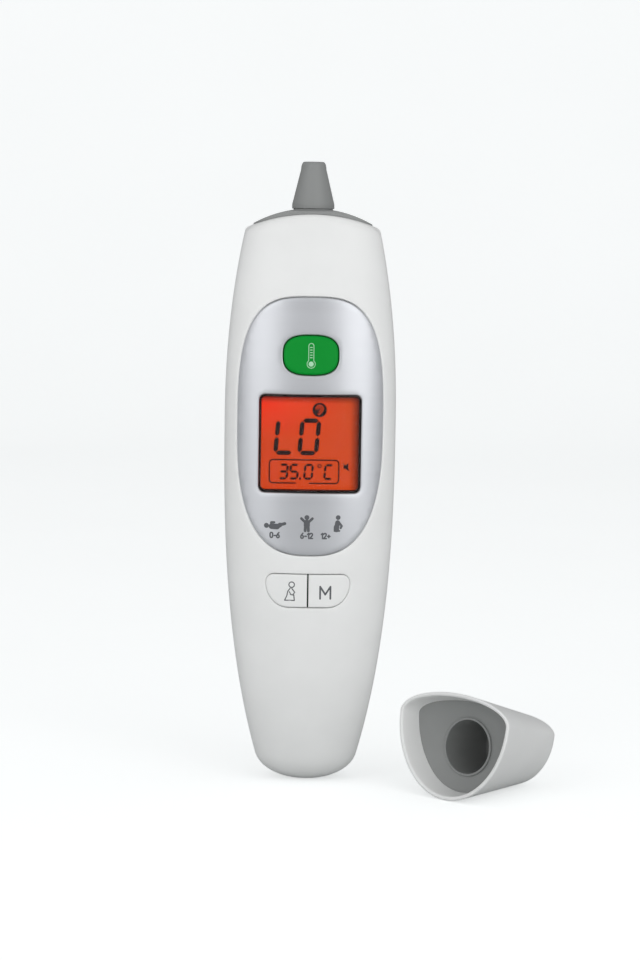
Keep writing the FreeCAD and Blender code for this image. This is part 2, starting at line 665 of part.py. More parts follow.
board_slab = centred_box("board_slab", ("BoardWide", "BoardThick", "BoardTop - BoardLow"),
                         (0, "BoardBack - BoardThick", "(BoardTop + BoardLow) / 2"))
board_holes = [rod("board_bore_%d%s" % (sign, level[-3:]), 1.15, 4,
                   ("%d * BoardScrewSide" % sign, "BoardBack - 3", level), "+Y")
               for sign in (-1, 1) for level in ("BoardScrewLow", "BoardScrewHigh")]
keep("main_board", cut("main_board_cut", board_slab, *board_holes))


def screw(name, x, seat, z, head, shank, length):
    """A pan-head screw driven towards -Y, its cross recess cut in the head."""
    top = rod(name + "_head", head, 1.4, (x, seat, z), "+Y")
    body = rod(name + "_shank", shank, length, (x, "%s - %g" % (seat, length), z), "+Y")
    depth = "%s + 0.8" % seat
    slots = fuse(name + "_slots", centred_box(name + "_slot_a", (0.45, 1, head), (x, depth, z)),
                 centred_box(name + "_slot_b", (head, 1, 0.45), (x, depth, z)))
    return cut(name, fuse(name + "_solid", top, body), slots)


keep("board_screws", group("board_screw_set", *[
    screw("board_screw_%d%s" % (sign, level[-3:]), "%d * BoardScrewSide" % sign, "BoardBack", level,
          1.7, 0.88, 4.0)
    for sign in (-1, 1) for level in ("BoardScrewLow", "BoardScrewHigh")]))
keep("housing_screws", group("housing_screw_set", *[
    screw("case_screw_%d" % sign, "%d * CaseScrewSide" % sign, 0.6, "CaseScrewLevel",
          1.75, 0.88, 10.8)
    for sign in (-1, 1)]))
keep("control_chip", centred_box("chip_body", (9, 1.1, 9), (0, "BoardBack", 100)))
components = [(-9, 104, 2.0, 1.2, 1.2), (-9, 100, 2.0, 1.2, 1.2), (9, 104, 1.6, 0.8, 0.8),
              (9, 101, 1.6, 0.8, 0.8), (9, 97, 3.2, 1.5, 5.0), (-9, 94, 2.8, 1.3, 1.4)]
keep("board_components", group("component_set", *[
    centred_box("component_%d" % k, (wide, deep, high), (x, "BoardBack", z))
    for k, (x, z, wide, deep, high) in enumerate(components)]))
keep("buzzer", cut("buzzer_cut", rod("buzzer_case", 6, 2.4, (0, "BoardBack", 82), "+Y"),
                   rod("buzzer_port", 0.8, 2, (0, "BoardBack + 1.4", 82), "+Y")))


def tact_switch(name, x, z, wide, tall, pin):
    """A push switch on the front of the board, its plunger towards the viewer."""
    case = centred_box(name + "_case", (wide, tall, wide), (x, "BoardBack - BoardThick - %g" % tall, z))
    plunger = rod(name + "_pin", 1.2, pin, (x, "BoardBack - BoardThick - %g" % (tall + pin), z), "+Y")
    return fuse(name, case, plunger)


keep("scan_switch", tact_switch("scan_tact", 0, "ScanLevel", 6.0, 2.6, 0.8))
keep("key_switches", group("key_switch_pair", *[
    tact_switch("key_tact_%d" % sign, "%d * KeyMiddle" % sign, "KeyLevel", 4.5, 1.8, 0.7)
    for sign in (-1, 1)]))

# buttons

button_skin = form("form_button_skin", -size("ScanProud"))
button_back = form("form_button_back", 2.9)
flange_front = form("form_flange_front", size("PlateThick") + 0.35)
scan_cap = common("scan_cap", cut("scan_band", button_skin, button_back),
                  prism_y("scan_prism", scan_outline(0.0)))
scan_flange = common("scan_flange", cut("flange_band", flange_front, button_back),
                     prism_y("scan_flange_prism", scan_outline(1.0)))
keep("scan_button", fuse("scan_button_fused", scan_cap, scan_flange))

key_skin = form("form_key_skin", -size("KeyProud"))
key_back = form("form_key_back", 2.95)
key_flange_front = form("form_key_flange", size("Wall") + 0.3)


def key(label, left):
    sides = {"left": left, "right": not left}
    face = common(label + "_face", cut(label + "_band", key_skin, key_back),
                  prism_y(label + "_prism", key_outline(0.0, **sides)))
    side = "left" if left else "right"
    edge = "-KeySplit / 2 - 20" if left else "KeySplit / 2"
    slab = box(label + "_half", (20, 30, 30), (edge, -30, 30))
    lip = common(label + "_lip", cut(label + "_lip_band", key_flange_front, key_back),
                 prism_y(label + "_lip_prism", key_outline(0.9)), slab)
    return keep(label, fuse(label + "_" + side, face, lip))


key("mode_key", True)
key("memory_key", False)


def stem(label, button, x, z, front, end):
    """The post behind a button that reaches its switch."""
    post = rod(label + "_post", "StemRadius", "%s - %s" % (end, front), (x, front, z), "+Y")
    return keep(label, cut(label + "_cut", post, button))


board_front = "BoardBack - BoardThick"
stem("scan_switch_stem", subparts["scan_button"], 0, "ScanLevel", -13.6,
     "(%s - 3.4 - ScanTravel - 0.05)" % board_front)
for sign, name in ((-1, "mode"), (1, "memory")):
    stem(name + "_switch_stem", subparts[name + "_key"], "%d * KeyMiddle" % sign, "KeyLevel", -13.2,
         "(%s - 2.5 - KeyTravel - 0.05)" % board_front)

# power


def cell(label, sign):
    """A micro cell; the two lie head to tail."""
    x = "%d * CellSide" % sign
    can_low = "CellLow" if sign < 0 else "CellLow + 1.2"
    can = rod(label + "_can", "CellRadius", "CellLong", (x, "CellBack", can_low))
    nub_low = "CellLow + CellLong" if sign < 0 else "CellLow"
    nub = rod(label + "_nub", 1.9, 1.2, (x, "CellBack", nub_low))
    return keep(label, fuse(label + "_fused", can, nub))


cell("battery_left", -1)
cell("battery_right", 1)

tray_block = centred_box("tray_block", ("TrayWide", "CellBack - TrayFront", "TrayTop - TrayLow"),
                         (0, "TrayFront", "(TrayTop + TrayLow) / 2"))
troughs = [rod("trough_%d" % sign, "CellRadius + 0.1", "TrayTop - TrayLow - 2",
               ("%d * CellSide" % sign, "CellBack", "TrayLow + 1")) for sign in (-1, 1)]
keep("battery_tray", cut("battery_tray_cut", tray_block, *troughs))


def contact(name, x, low):
    return centred_box(name, (7.6, 6.8, 0.4), (x, "CellBack - 3.4", low))


keep("battery_contacts", group("contact_set", *[
    contact("contact_%d%s" % (sign, end), "%d * CellSide" % sign,
            "TrayLow + 1.2" if end == "low" else "TrayTop - 1.2")
    for sign in (-1, 1) for end in ("low", "top")]))


def spring(name, sign):
    """The coil that presses on a cell's flat end, as a thin hollow cone."""
    x = "%d * CellSide" % sign
    if sign < 0:
        base, low, high, length = "TrayLow + 1.4", 3.6, 2.2, "CellLow - TrayLow - 1.4"
    else:
        base, low, high = "CellLow + 1.2 + CellLong", 2.2, 3.6
        length = "TrayTop - 1.4 - CellLow - 1.2 - CellLong"
    shell = taper(name + "_outer", low, high, length, (x, "CellBack", base))
    hollow = taper(name + "_inner", low - 0.7, high - 0.7, length, (x, "CellBack", base))
    return cut(name, shell, hollow)


keep("battery_springs", group("spring_pair", spring("coil_left", -1), spring("coil_right", 1)))

# the loose cap, drawn with its mouth at z = 0 and its closed end up, then laid down


def cap_section(z, inset, shrink=None):
    """The cap's outline at distance z from the mouth, tapering about the socket's axis."""
    share = 1 - (1 - size("CapShrink")) * z / size("CapLong")
    if shrink is not None:
        share *= shrink
    return section(size("CapWide") * share - inset, size("CapFront") * share - inset,
                   size("CapBack") * share - inset, -size("PartingBack") * share, z)


CAP_STEPS = 6


def cap_form(name, inset, low, end):
    """The cap's tapering form, with a quarter round at its closed end."""
    radius = size("CapRound") - inset
    levels = [low + (end - radius - low) * k / CAP_STEPS for k in range(CAP_STEPS + 1)]
    wires = [cap_section(z, inset) for z in levels]
    for k in range(1, CAP_STEPS):
        turn = math.pi / 2 * k / CAP_STEPS
        z = end - radius + radius * math.sin(turn)
        wires.append(cap_section(z, inset + radius * (1 - math.cos(turn))))
    wires.append(cap_section(end, inset + radius * 0.9))
    return feature(name, Part.makeLoft(wires, True, False))


cap_outer = cap_form("cap_outer", 0.0, 0.0, size("CapLong"))
cap_inner = cap_form("cap_inner", size("CapWall"), -0.5, size("CapLong") - 1.6)
cap_shell = cut("cap_shell_cut", cap_outer, cap_inner)

# The liner is a funnel that dips towards a round socket; its edge meets the shell's wall.
funnel_drop = size("LinerEye") - size("LinerEdge")
liner_form = cap_form("liner_form", size("CapWall") + 0.05, -0.5, size("CapLong") - 1.6)
funnel_slab = rod("funnel_slab", 30, "LinerEye - LinerEdge + SocketWall", (0, 0, "LinerEdge"))
dish = taper("dish", 19.0, "SocketRadius + 0.6", "LinerEye - LinerEdge", (0, 0, "LinerEdge"))
funnel = cut("funnel", common("funnel_plate", liner_form, funnel_slab), dish)
socket_tube = rod("socket_tube", "SocketRadius + SocketWall", "SocketEnd + SocketWall - LinerEye",
                  (0, 0, "LinerEye"))
socket_ring = rod("socket_ring", "SocketRadius + 0.6", 0.5, (0, 0, "LinerEye - 0.45"))
socket_bore = rod("socket_bore", "SocketRadius", "SocketEnd + 2", (0, 0, -2))
liner = common("liner_trim", cut("liner_solid", fuse("liner_fused", funnel, socket_tube, socket_ring),
                                 socket_bore), liner_form)

drop = (size("CapBack") - size("PartingBack")) * (1 - size("CapShrink"))
tilt = math.atan2(drop, size("CapLong"))
turn = math.radians(size("CapTurn"))
axis = Vector(math.cos(turn) * math.cos(tilt), math.sin(turn) * math.cos(tilt), -math.sin(tilt))
side = Vector(math.sin(turn), -math.cos(turn), 0)
lower = axis.cross(side)
lift = (size("CapBack") - size("PartingBack")) * -lower.z
lie = Placement(Vector(size("CapRight"), -size("CapAhead"), lift), Rotation(side, lower, axis, "ZXY"))
for label, item in (("cap_shell", cap_shell), ("cap_liner", liner)):
    item.Placement = lie
    keep(label, item)

# check everything, then write one file for each sub-part

doc.recompute()
faults = []
for item in doc.Objects:
    if "Invalid" in item.State or "Error" in item.State:
        faults.append("%s %s" % (item.Name, item.State))
for label, item in subparts.items():
    shape = item.Shape
    if shape.isNull() or not shape.isValid() or not shape.Solids:
        faults.append("%s has no valid shape" % label)
if faults:
    raise RuntimeError("; ".join(faults))

os.makedirs("parts", exist_ok=True)
for label, item in subparts.items():
    item.Shape.exportStep(os.path.join("parts", label + ".step"))
    print("%-18s solids %d  volume %8.1f" % (label, len(item.Shape.Solids), item.Shape.Volume))
print("mouth centre", [round(v, 2) for v in lie.Base], "axis", [round(v, 4) for v in axis])
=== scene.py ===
import json
import math
import bmesh
import bpy
import numpy as np
from mathutils import Matrix, Vector
from mathutils.geometry import delaunay_2d_cdt


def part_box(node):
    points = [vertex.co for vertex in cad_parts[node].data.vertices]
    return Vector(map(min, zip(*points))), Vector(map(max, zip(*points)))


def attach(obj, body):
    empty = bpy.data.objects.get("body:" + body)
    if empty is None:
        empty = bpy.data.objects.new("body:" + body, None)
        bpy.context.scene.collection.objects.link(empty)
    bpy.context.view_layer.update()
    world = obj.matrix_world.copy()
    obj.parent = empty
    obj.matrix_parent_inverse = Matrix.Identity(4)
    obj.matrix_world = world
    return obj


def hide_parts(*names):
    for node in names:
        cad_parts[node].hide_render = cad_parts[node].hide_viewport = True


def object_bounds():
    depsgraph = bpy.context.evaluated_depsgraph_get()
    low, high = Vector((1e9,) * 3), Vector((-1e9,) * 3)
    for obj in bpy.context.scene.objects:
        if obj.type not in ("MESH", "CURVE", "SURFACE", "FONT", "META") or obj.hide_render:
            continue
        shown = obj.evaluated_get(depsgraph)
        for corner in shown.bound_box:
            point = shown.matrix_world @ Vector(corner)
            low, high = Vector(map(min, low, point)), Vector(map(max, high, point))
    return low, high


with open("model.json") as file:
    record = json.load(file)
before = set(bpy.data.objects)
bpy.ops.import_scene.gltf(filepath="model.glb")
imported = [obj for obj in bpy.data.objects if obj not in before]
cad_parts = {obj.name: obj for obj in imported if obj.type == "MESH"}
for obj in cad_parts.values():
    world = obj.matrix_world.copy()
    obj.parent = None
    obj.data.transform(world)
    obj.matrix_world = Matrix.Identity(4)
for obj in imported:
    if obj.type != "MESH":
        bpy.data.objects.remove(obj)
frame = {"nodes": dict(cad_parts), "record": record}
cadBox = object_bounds()
record = frame["record"]
toMetres = 0.001  # all sizes below are millimetres
print("frame loaded:", len(frame["nodes"]), "nodes")


def tone(red, green, blue):
    # a screen colour, 0 to 255, as linear light
    def light(value):
        value /= 255
        return value / 12.92 if value <= 0.04045 else ((value + 0.055) / 1.055) ** 2.4
    return (light(red), light(green), light(blue), 1.0)


# materials: a fine mottle in colour and roughness, a fine bump, and what each finish needs on top
finishes = {
    "whiteShell": {"colour": tone(232, 233, 232), "mottle": 0.015, "rough": (0.34, 0.42),
                   "grain": 900, "bump": 0.012, "coat": 0.12, "coatRough": 0.3},
    "silverPlate": {"colour": tone(208, 210, 214), "mottle": 0.015, "rough": (0.34, 0.39), "metal": 0.85,
                    "grain": 60, "stretch": (1, 1, 60), "bump": 0.0012},
    "greenButton": {"colour": tone(0, 142, 46), "mottle": 0.04, "rough": (0.3, 0.38), "grain": 700,
                    "bump": 0.008, "specular": 0.1},
    "greyPlastic": {"colour": tone(136, 138, 137), "mottle": 0.03, "rough": (0.38, 0.48), "grain": 900,
                    "bump": 0.012},
    "blackRubber": {"colour": tone(18, 16, 16), "mottle": 0.1, "rough": (0.6, 0.75), "grain": 1200,
                    "bump": 0.02},
    "whiteInner": {"colour": tone(226, 224, 216), "mottle": 0.02, "rough": (0.5, 0.6), "grain": 700,
                   "bump": 0.012},
    "lightDiode": {"colour": tone(250, 190, 120), "mottle": 0.02, "rough": (0.2, 0.3), "grain": 900,
                   "bump": 0.004, "glow": (tone(255, 90, 40), 1.5)},
    "greenBoard": {"colour": tone(24, 92, 52), "mottle": 0.08, "rough": (0.3, 0.45), "grain": 500,
                   "bump": 0.01, "coat": 0.3, "coatRough": 0.25},
    "steel": {"colour": tone(200, 198, 192), "mottle": 0.04, "rough": (0.22, 0.36), "metal": 1.0,
              "grain": 400, "bump": 0.006},
    "blackPlastic": {"colour": tone(34, 34, 36), "mottle": 0.08, "rough": (0.45, 0.6), "grain": 900,
                     "bump": 0.015},
    "infraredWindow": {"colour": tone(52, 44, 56), "mottle": 0.05, "rough": (0.08, 0.14), "grain": 300,
                       "bump": 0.002, "coat": 0.6, "coatRough": 0.05},
    "goldTube": {"colour": tone(226, 184, 96), "mottle": 0.04, "rough": (0.14, 0.24), "metal": 1.0,
                 "grain": 500, "bump": 0.004},
    "sensorMetal": {"colour": tone(188, 188, 184), "mottle": 0.05, "rough": (0.3, 0.42), "metal": 1.0,
                    "grain": 200, "stretch": (1, 1, 20), "bump": 0.008},
    "leadInsulation": {"colour": tone(168, 30, 26), "mottle": 0.05, "rough": (0.4, 0.5), "grain": 600,
                       "bump": 0.008},
    "cellJacket": {"colour": tone(40, 52, 60), "mottle": 0.06, "rough": (0.2, 0.3), "grain": 500,
                   "bump": 0.004, "coat": 0.4, "coatRough": 0.12, "band": tone(206, 160, 66)},
    "foam": {"colour": tone(62, 62, 64), "mottle": 0.25, "rough": (0.85, 0.95), "grain": 1500,
             "bump": 0.12},
    "printGrey": {"colour": tone(86, 88, 92), "mottle": 0.05, "rough": (0.45, 0.55), "grain": 1500,
                  "bump": 0.004},
    "printPale": {"colour": tone(168, 216, 180), "mottle": 0.03, "rough": (0.4, 0.5), "grain": 1500,
                  "bump": 0.004},
    "segmentInk": {"colour": tone(30, 3, 2), "mottle": 0.1, "rough": (0.4, 0.5), "grain": 1500,
                   "bump": 0.002, "specular": 0.15},
    "paneFrame": {"colour": tone(16, 12, 12), "mottle": 0.1, "rough": (0.5, 0.6), "grain": 1500,
                  "bump": 0.002, "specular": 0.2},
}


def node(tree, kind, place, **values):
    item = tree.nodes.new(kind)
    item.location = place
    for key, value in values.items():
        if hasattr(item, key):
            setattr(item, key, value)
        else:
            item.inputs[key.replace("_", " ")].default_value = value
    return item


def startMaterial(name):
    material = bpy.data.materials.new(name)
    material.use_nodes = True
    tree = material.node_tree
    shader = tree.nodes["Principled BSDF"]
    coords = node(tree, "ShaderNodeTexCoord", (-1300, 0))
    return material, tree, shader, coords.outputs["Object"]


def mapped(tree, source, place, scale):
    item = node(tree, "ShaderNodeMapping", place)
    item.inputs["Scale"].default_value = scale
    tree.links.new(source, item.inputs["Vector"])
    return item.outputs["Vector"]


def noise(tree, source, place, scale, detail=3.0):
    item = node(tree, "ShaderNodeTexNoise", place, Scale=scale, Detail=detail)
    tree.links.new(source, item.inputs["Vector"])
    return item.outputs["Fac"]


def ranged(tree, source, place, low, high, start=0.3, end=0.7):
    item = node(tree, "ShaderNodeMapRange", place)
    for key, value in (("From Min", start), ("From Max", end), ("To Min", low), ("To Max", high)):
        item.inputs[key].default_value = value
    tree.links.new(source, item.inputs["Value"])
    return item.outputs["Result"]


def blended(tree, factor, place, first, second):
    # two colours mixed; each is a colour or another node's output
    item = node(tree, "ShaderNodeMix", place, data_type="RGBA")
    tree.links.new(factor, item.inputs["Factor"])
    for value, socket in ((first, item.inputs[6]), (second, item.inputs[7])):
        if isinstance(value, tuple):
            socket.default_value = value
        else:
            tree.links.new(value, socket)
    return item.outputs[2]


def scaled(colour, share):
    return tuple(min(channel * share, 1.0) for channel in colour[:3]) + (1.0,)


def makeFinish(name, look):
    material, tree, shader, place = startMaterial(name)
    spots = mapped(tree, place, (-1100, 0), look.get("stretch", (1, 1, 1)))
    coarse = noise(tree, spots, (-900, 150), look["grain"] * 0.12, 4.0)
    fine = noise(tree, spots, (-900, -150), look["grain"], 2.0)
    dark, pale = scaled(look["colour"], 1 - look["mottle"]), scaled(look["colour"], 1 + look["mottle"])
    colour = blended(tree, ranged(tree, coarse, (-700, 250), 0, 1), (-450, 250), dark, pale)
    if "band" in look:
        # a gold collar round one end of a cell jacket
        split = node(tree, "ShaderNodeSeparateXYZ", (-900, 450))
        tree.links.new(place, split.inputs[0])
        step = ranged(tree, split.outputs["Z"], (-700, 450), 0, 1, 0.0500, 0.0502)
        colour = blended(tree, step, (-250, 350), colour, look["band"])
    tree.links.new(colour, shader.inputs["Base Color"])
    rough = ranged(tree, coarse, (-450, 0), *look["rough"])
    tree.links.new(rough, shader.inputs["Roughness"])
    bump = node(tree, "ShaderNodeBump", (-250, -200), Strength=0.6, Distance=look["bump"] * toMetres)
    tree.links.new(fine, bump.inputs["Height"])
    tree.links.new(bump.outputs["Normal"], shader.inputs["Normal"])
    shader.inputs["Metallic"].default_value = look.get("metal", 0.0)
    shader.inputs["Specular IOR Level"].default_value = look.get("specular", 0.5)
    shader.inputs["Coat Weight"].default_value = look.get("coat", 0.0)
    shader.inputs["Coat Roughness"].default_value = look.get("coatRough", 0.03)
    if "glow" in look:
        shader.inputs["Emission Color"].default_value = look["glow"][0]
        shader.inputs["Emission Strength"].default_value = look["glow"][1]
    return material


materials = {name: makeFinish(name, look) for name, look in finishes.items()}
print("finishes:", len(materials))


# outlines are arrays of points (across, up), closed
def counterclockwise(loop):
    loop = np.asarray(loop, float)
    after = np.roll(loop, -1, 0)
    area = np.sum(loop[:, 0] * after[:, 1] - after[:, 0] * loop[:, 1])
    return loop if area > 0 else loop[::-1].copy()


def grown(loop, distance):
    # a counterclockwise outline moved outwards
    along = np.roll(loop, -1, 0) - np.roll(loop, 1, 0)
    along /= np.maximum(np.linalg.norm(along, axis=1, keepdims=True), 1e-9)
    return loop + np.stack([along[:, 1], -along[:, 0]], 1) * distance


def insideAny(points, loops):
    hit = np.zeros(len(points), bool)
    across, up = points[:, :1], points[:, 1:]
    for loop in loops:
        after = np.roll(loop, -1, 0)
        crosses = (loop[:, 1] > up) != (after[:, 1] > up)
        rise = after[:, 1] - loop[:, 1]
        rise = np.where(np.abs(rise) < 1e-12, 1e-12, rise)
        edge = loop[:, 0] + (up - loop[:, 1]) * (after[:, 0] - loop[:, 0]) / rise
        hit |= np.sum(crosses & (across < edge), axis=1) % 2 == 1
    return hit


def lattice(outlines, holes, step, clear):
    corners = np.concatenate(outlines)
    low, high = corners.min(0), corners.max(0)
    across = np.arange(low[0] + step[0] / 2, high[0], step[0])
    up = np.arange(low[1] + step[1] / 2, high[1], step[1])
    grid = np.stack(np.meshgrid(across, up), -1).reshape(-1, 2)
    grid = grid[insideAny(grid, outlines)]
    if holes and len(grid):
        grid = grid[~insideAny(grid, holes)]
    for loop in outlines + holes:
        if len(grid):
            gap = np.abs(grid[:, None, :] - loop[None, :, :]).max(-1).min(1)
            grid = grid[gap > clear]
    return grid


def patchMesh(outlines, lift, front, back, holes=(), rim=0.0, step=(1.2, 1.2), rimSteps=3):
    # a closed sheet over outlines: lift places (across, up, depth) in space, rim rounds the front edges
    outlines = [counterclockwise(loop) for loop in outlines]
    holes = [counterclockwise(loop) for loop in holes]
    points, depths, edges = [], [], []
    count = 0
    for loop, side in [(loop, -1) for loop in outlines] + [(loop, 1) for loop in holes]:
        for k in range(rimSteps + 1 if rim else 1):
            turn = math.pi / 2 * k / rimSteps
            points.append(grown(loop, side * rim * (1 - math.cos(turn))) if k else loop)
            depths += [front + rim * (1 - math.sin(turn))] * len(loop)
            edges += [(count + j, count + (j + 1) % len(loop)) for j in range(len(loop))]
            count += len(loop)
    inner = lattice(outlines, holes, step, rim + 0.45 * min(step))
    points.append(inner)
    depths = np.array(depths + [front] * len(inner))
    found = delaunay_2d_cdt([Vector(p) for p in np.concatenate(points)], edges, [], 0, 1e-6)
    flat = np.array([tuple(p) for p in found[0]])
    faces = np.array([face for face in found[2] if len(face) == 3])
    middle = flat[faces].mean(1)
    keepFace = insideAny(middle, outlines)
    if holes:
        keepFace &= ~insideAny(middle, holes)
    faces = faces[keepFace]
    depth = np.array([depths[origin[0]] if origin else front for origin in found[3]])
    top = lift(flat[:, 0], flat[:, 1], depth)
    under = lift(flat[:, 0], flat[:, 1], np.full(len(flat), float(back)))
    seen = {}
    for a, b, c in faces.tolist():
        for pair in ((a, b), (b, c), (c, a)):
            if (pair[1], pair[0]) in seen:
                del seen[(pair[1], pair[0])]
            else:
                seen[pair] = True
    total = len(flat)
    solid = faces.tolist() + [[c + total, b + total, a + total] for a, b, c in faces.tolist()]
    solid += [[b, a, a + total, b + total] for a, b in seen]
    return np.concatenate([top, under]), solid


def loftMesh(rings, closeStart=True, closeEnd=True, loop=False):
    # rings of equal count joined in order; the ends close on their middles
    size = len(rings[0])
    verts = np.concatenate(rings)
    faces = []
    pairs = list(zip(range(len(rings)), range(1, len(rings)))) + ([(len(rings) - 1, 0)] if loop else [])
    for low, high in pairs:
        for j in range(size):
            k = (j + 1) % size
            faces.append([low * size + j, low * size + k, high * size + k, high * size + j])
    for wanted, first in ((closeStart, 0), (closeEnd, (len(rings) - 1) * size)):
        if wanted and not loop:
            verts = np.concatenate([verts, verts[first:first + size].mean(0, keepdims=True)])
            faces += [[first + j, first + (j + 1) % size, len(verts) - 1] for j in range(size)]
    return verts, faces


def latheMesh(profile, steps=96, closed=True):
    # a profile of (radius, height) turned about the upright axis
    turns = np.arange(steps) * 2 * math.pi / steps
    rings = [np.stack([radius * np.cos(turns), radius * np.sin(turns), np.full(steps, height)], 1)
             for radius, height in profile]
    return loftMesh(rings, not closed, not closed, closed)


def placed(name, data):
    thing = bpy.data.objects.new(name, data)
    bpy.context.scene.collection.objects.link(thing)
    return thing


def finished(name, mesh, body, nodes):
    piece = placed(name, mesh)
    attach(piece, body)
    if nodes:
        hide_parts(*nodes)
    print("piece", name, len(mesh.polygons))


def makePiece(name, parts, finish, body, nodes=(), sharp=38.0):
    # parts are (points in mm, faces); each is a closed shape of its own
    build = bmesh.new()
    for verts, faces in parts:
        made = [build.verts.new(Vector(p) * toMetres) for p in np.asarray(verts, float).tolist()]
        for face in faces:
            if len(set(face)) == len(face):
                build.faces.new([made[j] for j in face])
    bmesh.ops.remove_doubles(build, verts=build.verts, dist=1e-6)
    bmesh.ops.dissolve_degenerate(build, edges=build.edges, dist=1e-7)
    loose = [v for v in build.verts if not v.link_faces]
    bmesh.ops.delete(build, geom=loose, context="VERTS")
    bmesh.ops.recalc_face_normals(build, faces=build.faces)
    mesh = bpy.data.meshes.new(name)
    build.to_mesh(mesh)
    build.free()
    mesh.shade_smooth()
    mesh.set_sharp_from_angle(angle=math.radians(sharp))
    mesh.materials.append(materials[finish])
    finished(name, mesh, body, nodes)


# node trees for what repeats; their sizes are named inputs, in mm
def startTree(name, sizes):
    tree = bpy.data.node_groups.new(name, "GeometryNodeTree")
    tree.interface.new_socket("Geometry", in_out="OUTPUT", socket_type="NodeSocketGeometry")
    for label, kind in sizes:
        tree.interface.new_socket(label, in_out="INPUT", socket_type="NodeSocket" + kind)
    return tree, node(tree, "NodeGroupInput", (-800, 0)), node(tree, "NodeGroupOutput", (900, 0))


def wireUp(tree, *pairs):
    for source, target in pairs:
        tree.links.new(source, target)


def endTree(tree, source, last, finish):
    real = node(tree, "GeometryNodeRealizeInstances", (500, 0))
    paint = node(tree, "GeometryNodeSetMaterial", (700, 0))
    paint.inputs["Material"].default_value = materials[finish]
    wireUp(tree, (source, real.inputs[0]), (real.outputs[0], paint.inputs["Geometry"]),
           (paint.outputs[0], last.inputs[0]))


def treeMesh(tree, values):
    # what the tree makes of these sizes, as (points, faces)
    holder = placed(tree.name, bpy.data.meshes.new(tree.name))
    modifier = holder.modifiers.new("made", "NODES")
    modifier.node_group = tree
    for socket in tree.interface.items_tree:
        if socket.in_out == "INPUT":
            modifier[socket.identifier] = values[socket.name]
    depsgraph = bpy.context.evaluated_depsgraph_get()
    mesh = bpy.data.meshes.new_from_object(holder.evaluated_get(depsgraph), depsgraph=depsgraph)
    holder.modifiers.remove(modifier)
    points = np.array([v.co[:] for v in mesh.vertices])
    faces = [tuple(face.vertices) for face in mesh.polygons]
    blank = holder.data
    bpy.data.objects.remove(holder)
    bpy.data.meshes.remove(blank)
    bpy.data.meshes.remove(mesh)
    return points, faces


# the handle's form: half width, depth in front of and behind the parting plane, by height
form = {"crown": 91.0, "sizes": (21.15, 9.3, 22.0), "reach": 49.0, "topPower": 2.2,
        "dropTop": (5.04, 2.9, 2.1), "tailPower": 2.6, "dropTail": (10.36, 3.0, 8.0),
        "nose": 7.0, "nosePower": 2.3, "noseFlat": 0.1, "parting": 6.7, "bend": 78.0, "bendTop": 30.0,
        "wall": 1.9, "seam": 0.12, "archRadius": 41.0, "archCentre": 100.6, "shoulderRound": 1.6,
        "land": 4.8}


def formAt(z):
    rise = np.asarray(z, float) - form["crown"]
    up = (np.clip(rise, 0, None) / form["reach"]) ** form["topPower"]
    down = (np.clip(-rise, 0, None) / form["crown"]) ** form["tailPower"]
    below = np.clip(form["nose"] - z, 0, None) / (form["nose"] + form["noseFlat"])
    share = np.clip(1 - below ** form["nosePower"], 0, 1) ** (1 / form["nosePower"])
    return [(size - top * up - tail * down) * share
            for size, top, tail in zip(form["sizes"], form["dropTop"], form["dropTail"])]


def partingAt(z):
    below = np.clip(form["bendTop"] - z, 0, None)
    return form["bend"] - form["parting"] - np.sqrt(form["bend"] ** 2 - below ** 2)


def archAt(x):
    return form["archCentre"] + np.sqrt(form["archRadius"] ** 2 - x ** 2)


def onFront(x, z, depth):
    wide, front, back = formAt(z)
    share = np.clip(1 - (x / (wide - depth)) ** 2, 0, 1)
    return np.stack([x, partingAt(z) - (front - depth) * np.sqrt(share), z], 1)


# the skin as a band: across is the angle times girth, up follows the nose, the side and the shoulder
skin = {"girth": 21.0, "flatRows": 2.4, "straightEnd": 134.0, "rise": 4.0, "round": 2.4, "landRows": 3.2}
noseRows = form["nose"] * math.pi / 2
rowShift = noseRows - form["nose"]
skinTop = skin["straightEnd"] + rowShift + skin["rise"] + skin["round"] + skin["landRows"]


def onSkin(across, up, depth):
    phi = across / skin["girth"]
    side, face = np.cos(phi), np.sin(phi)
    z = np.where(up < noseRows, form["nose"] * (1 - np.cos(np.clip(up, 0, noseRows) / form["nose"])),
                 up - rowShift)
    z = z + depth * np.clip(1 - z / form["nose"], 0, 1)
    share = np.clip(1 + up / skin["flatRows"], 0, 1)
    past = up - skin["straightEnd"] - rowShift
    first = np.clip(past / skin["rise"], 0, 1)
    turn = np.clip((past - skin["rise"]) / skin["round"], 0, 1) * math.pi / 2
    last = np.clip((past - skin["rise"] - skin["round"]) / skin["landRows"], 0, 1)
    deep = depth / form["wall"]
    outer, inner = form["shoulderRound"], 0.3
    inset = ((1 - deep) * (outer * (1 - np.cos(turn)) + last * (form["land"] - outer))
             + deep * (form["wall"] + inner * (1 - np.cos(turn))
                       + last * (form["land"] - form["wall"] - inner)))
    drop = ((1 - deep) * outer * (1 - np.sin(turn))
            + deep * (form["wall"] + inner * (1 - np.sin(turn))))
    high = np.minimum(z, 138.5)
    for _ in range(4):
        wide = formAt(high)[0]
        x = (wide - inset) * side * share
        over = skin["straightEnd"] + first * (archAt(x) - drop - skin["straightEnd"])
        high = np.where(past > 0, over, z)
    wide, front, back = formAt(high)
    reach = np.where(face >= 0, front, back) - inset
    return np.stack([x, partingAt(high) - reach * face * share, high], 1)


def rowOf(z):
    # where a height lies in the band, above the nose
    return z + rowShift


def wrapped(loop):
    # an outline drawn on the front (x, z) as one on the band
    wide = formAt(loop[:, 1])[0]
    return np.stack([np.arccos(np.clip(loop[:, 0] / wide, -1, 1)) * skin["girth"],
                     rowOf(loop[:, 1])], 1)


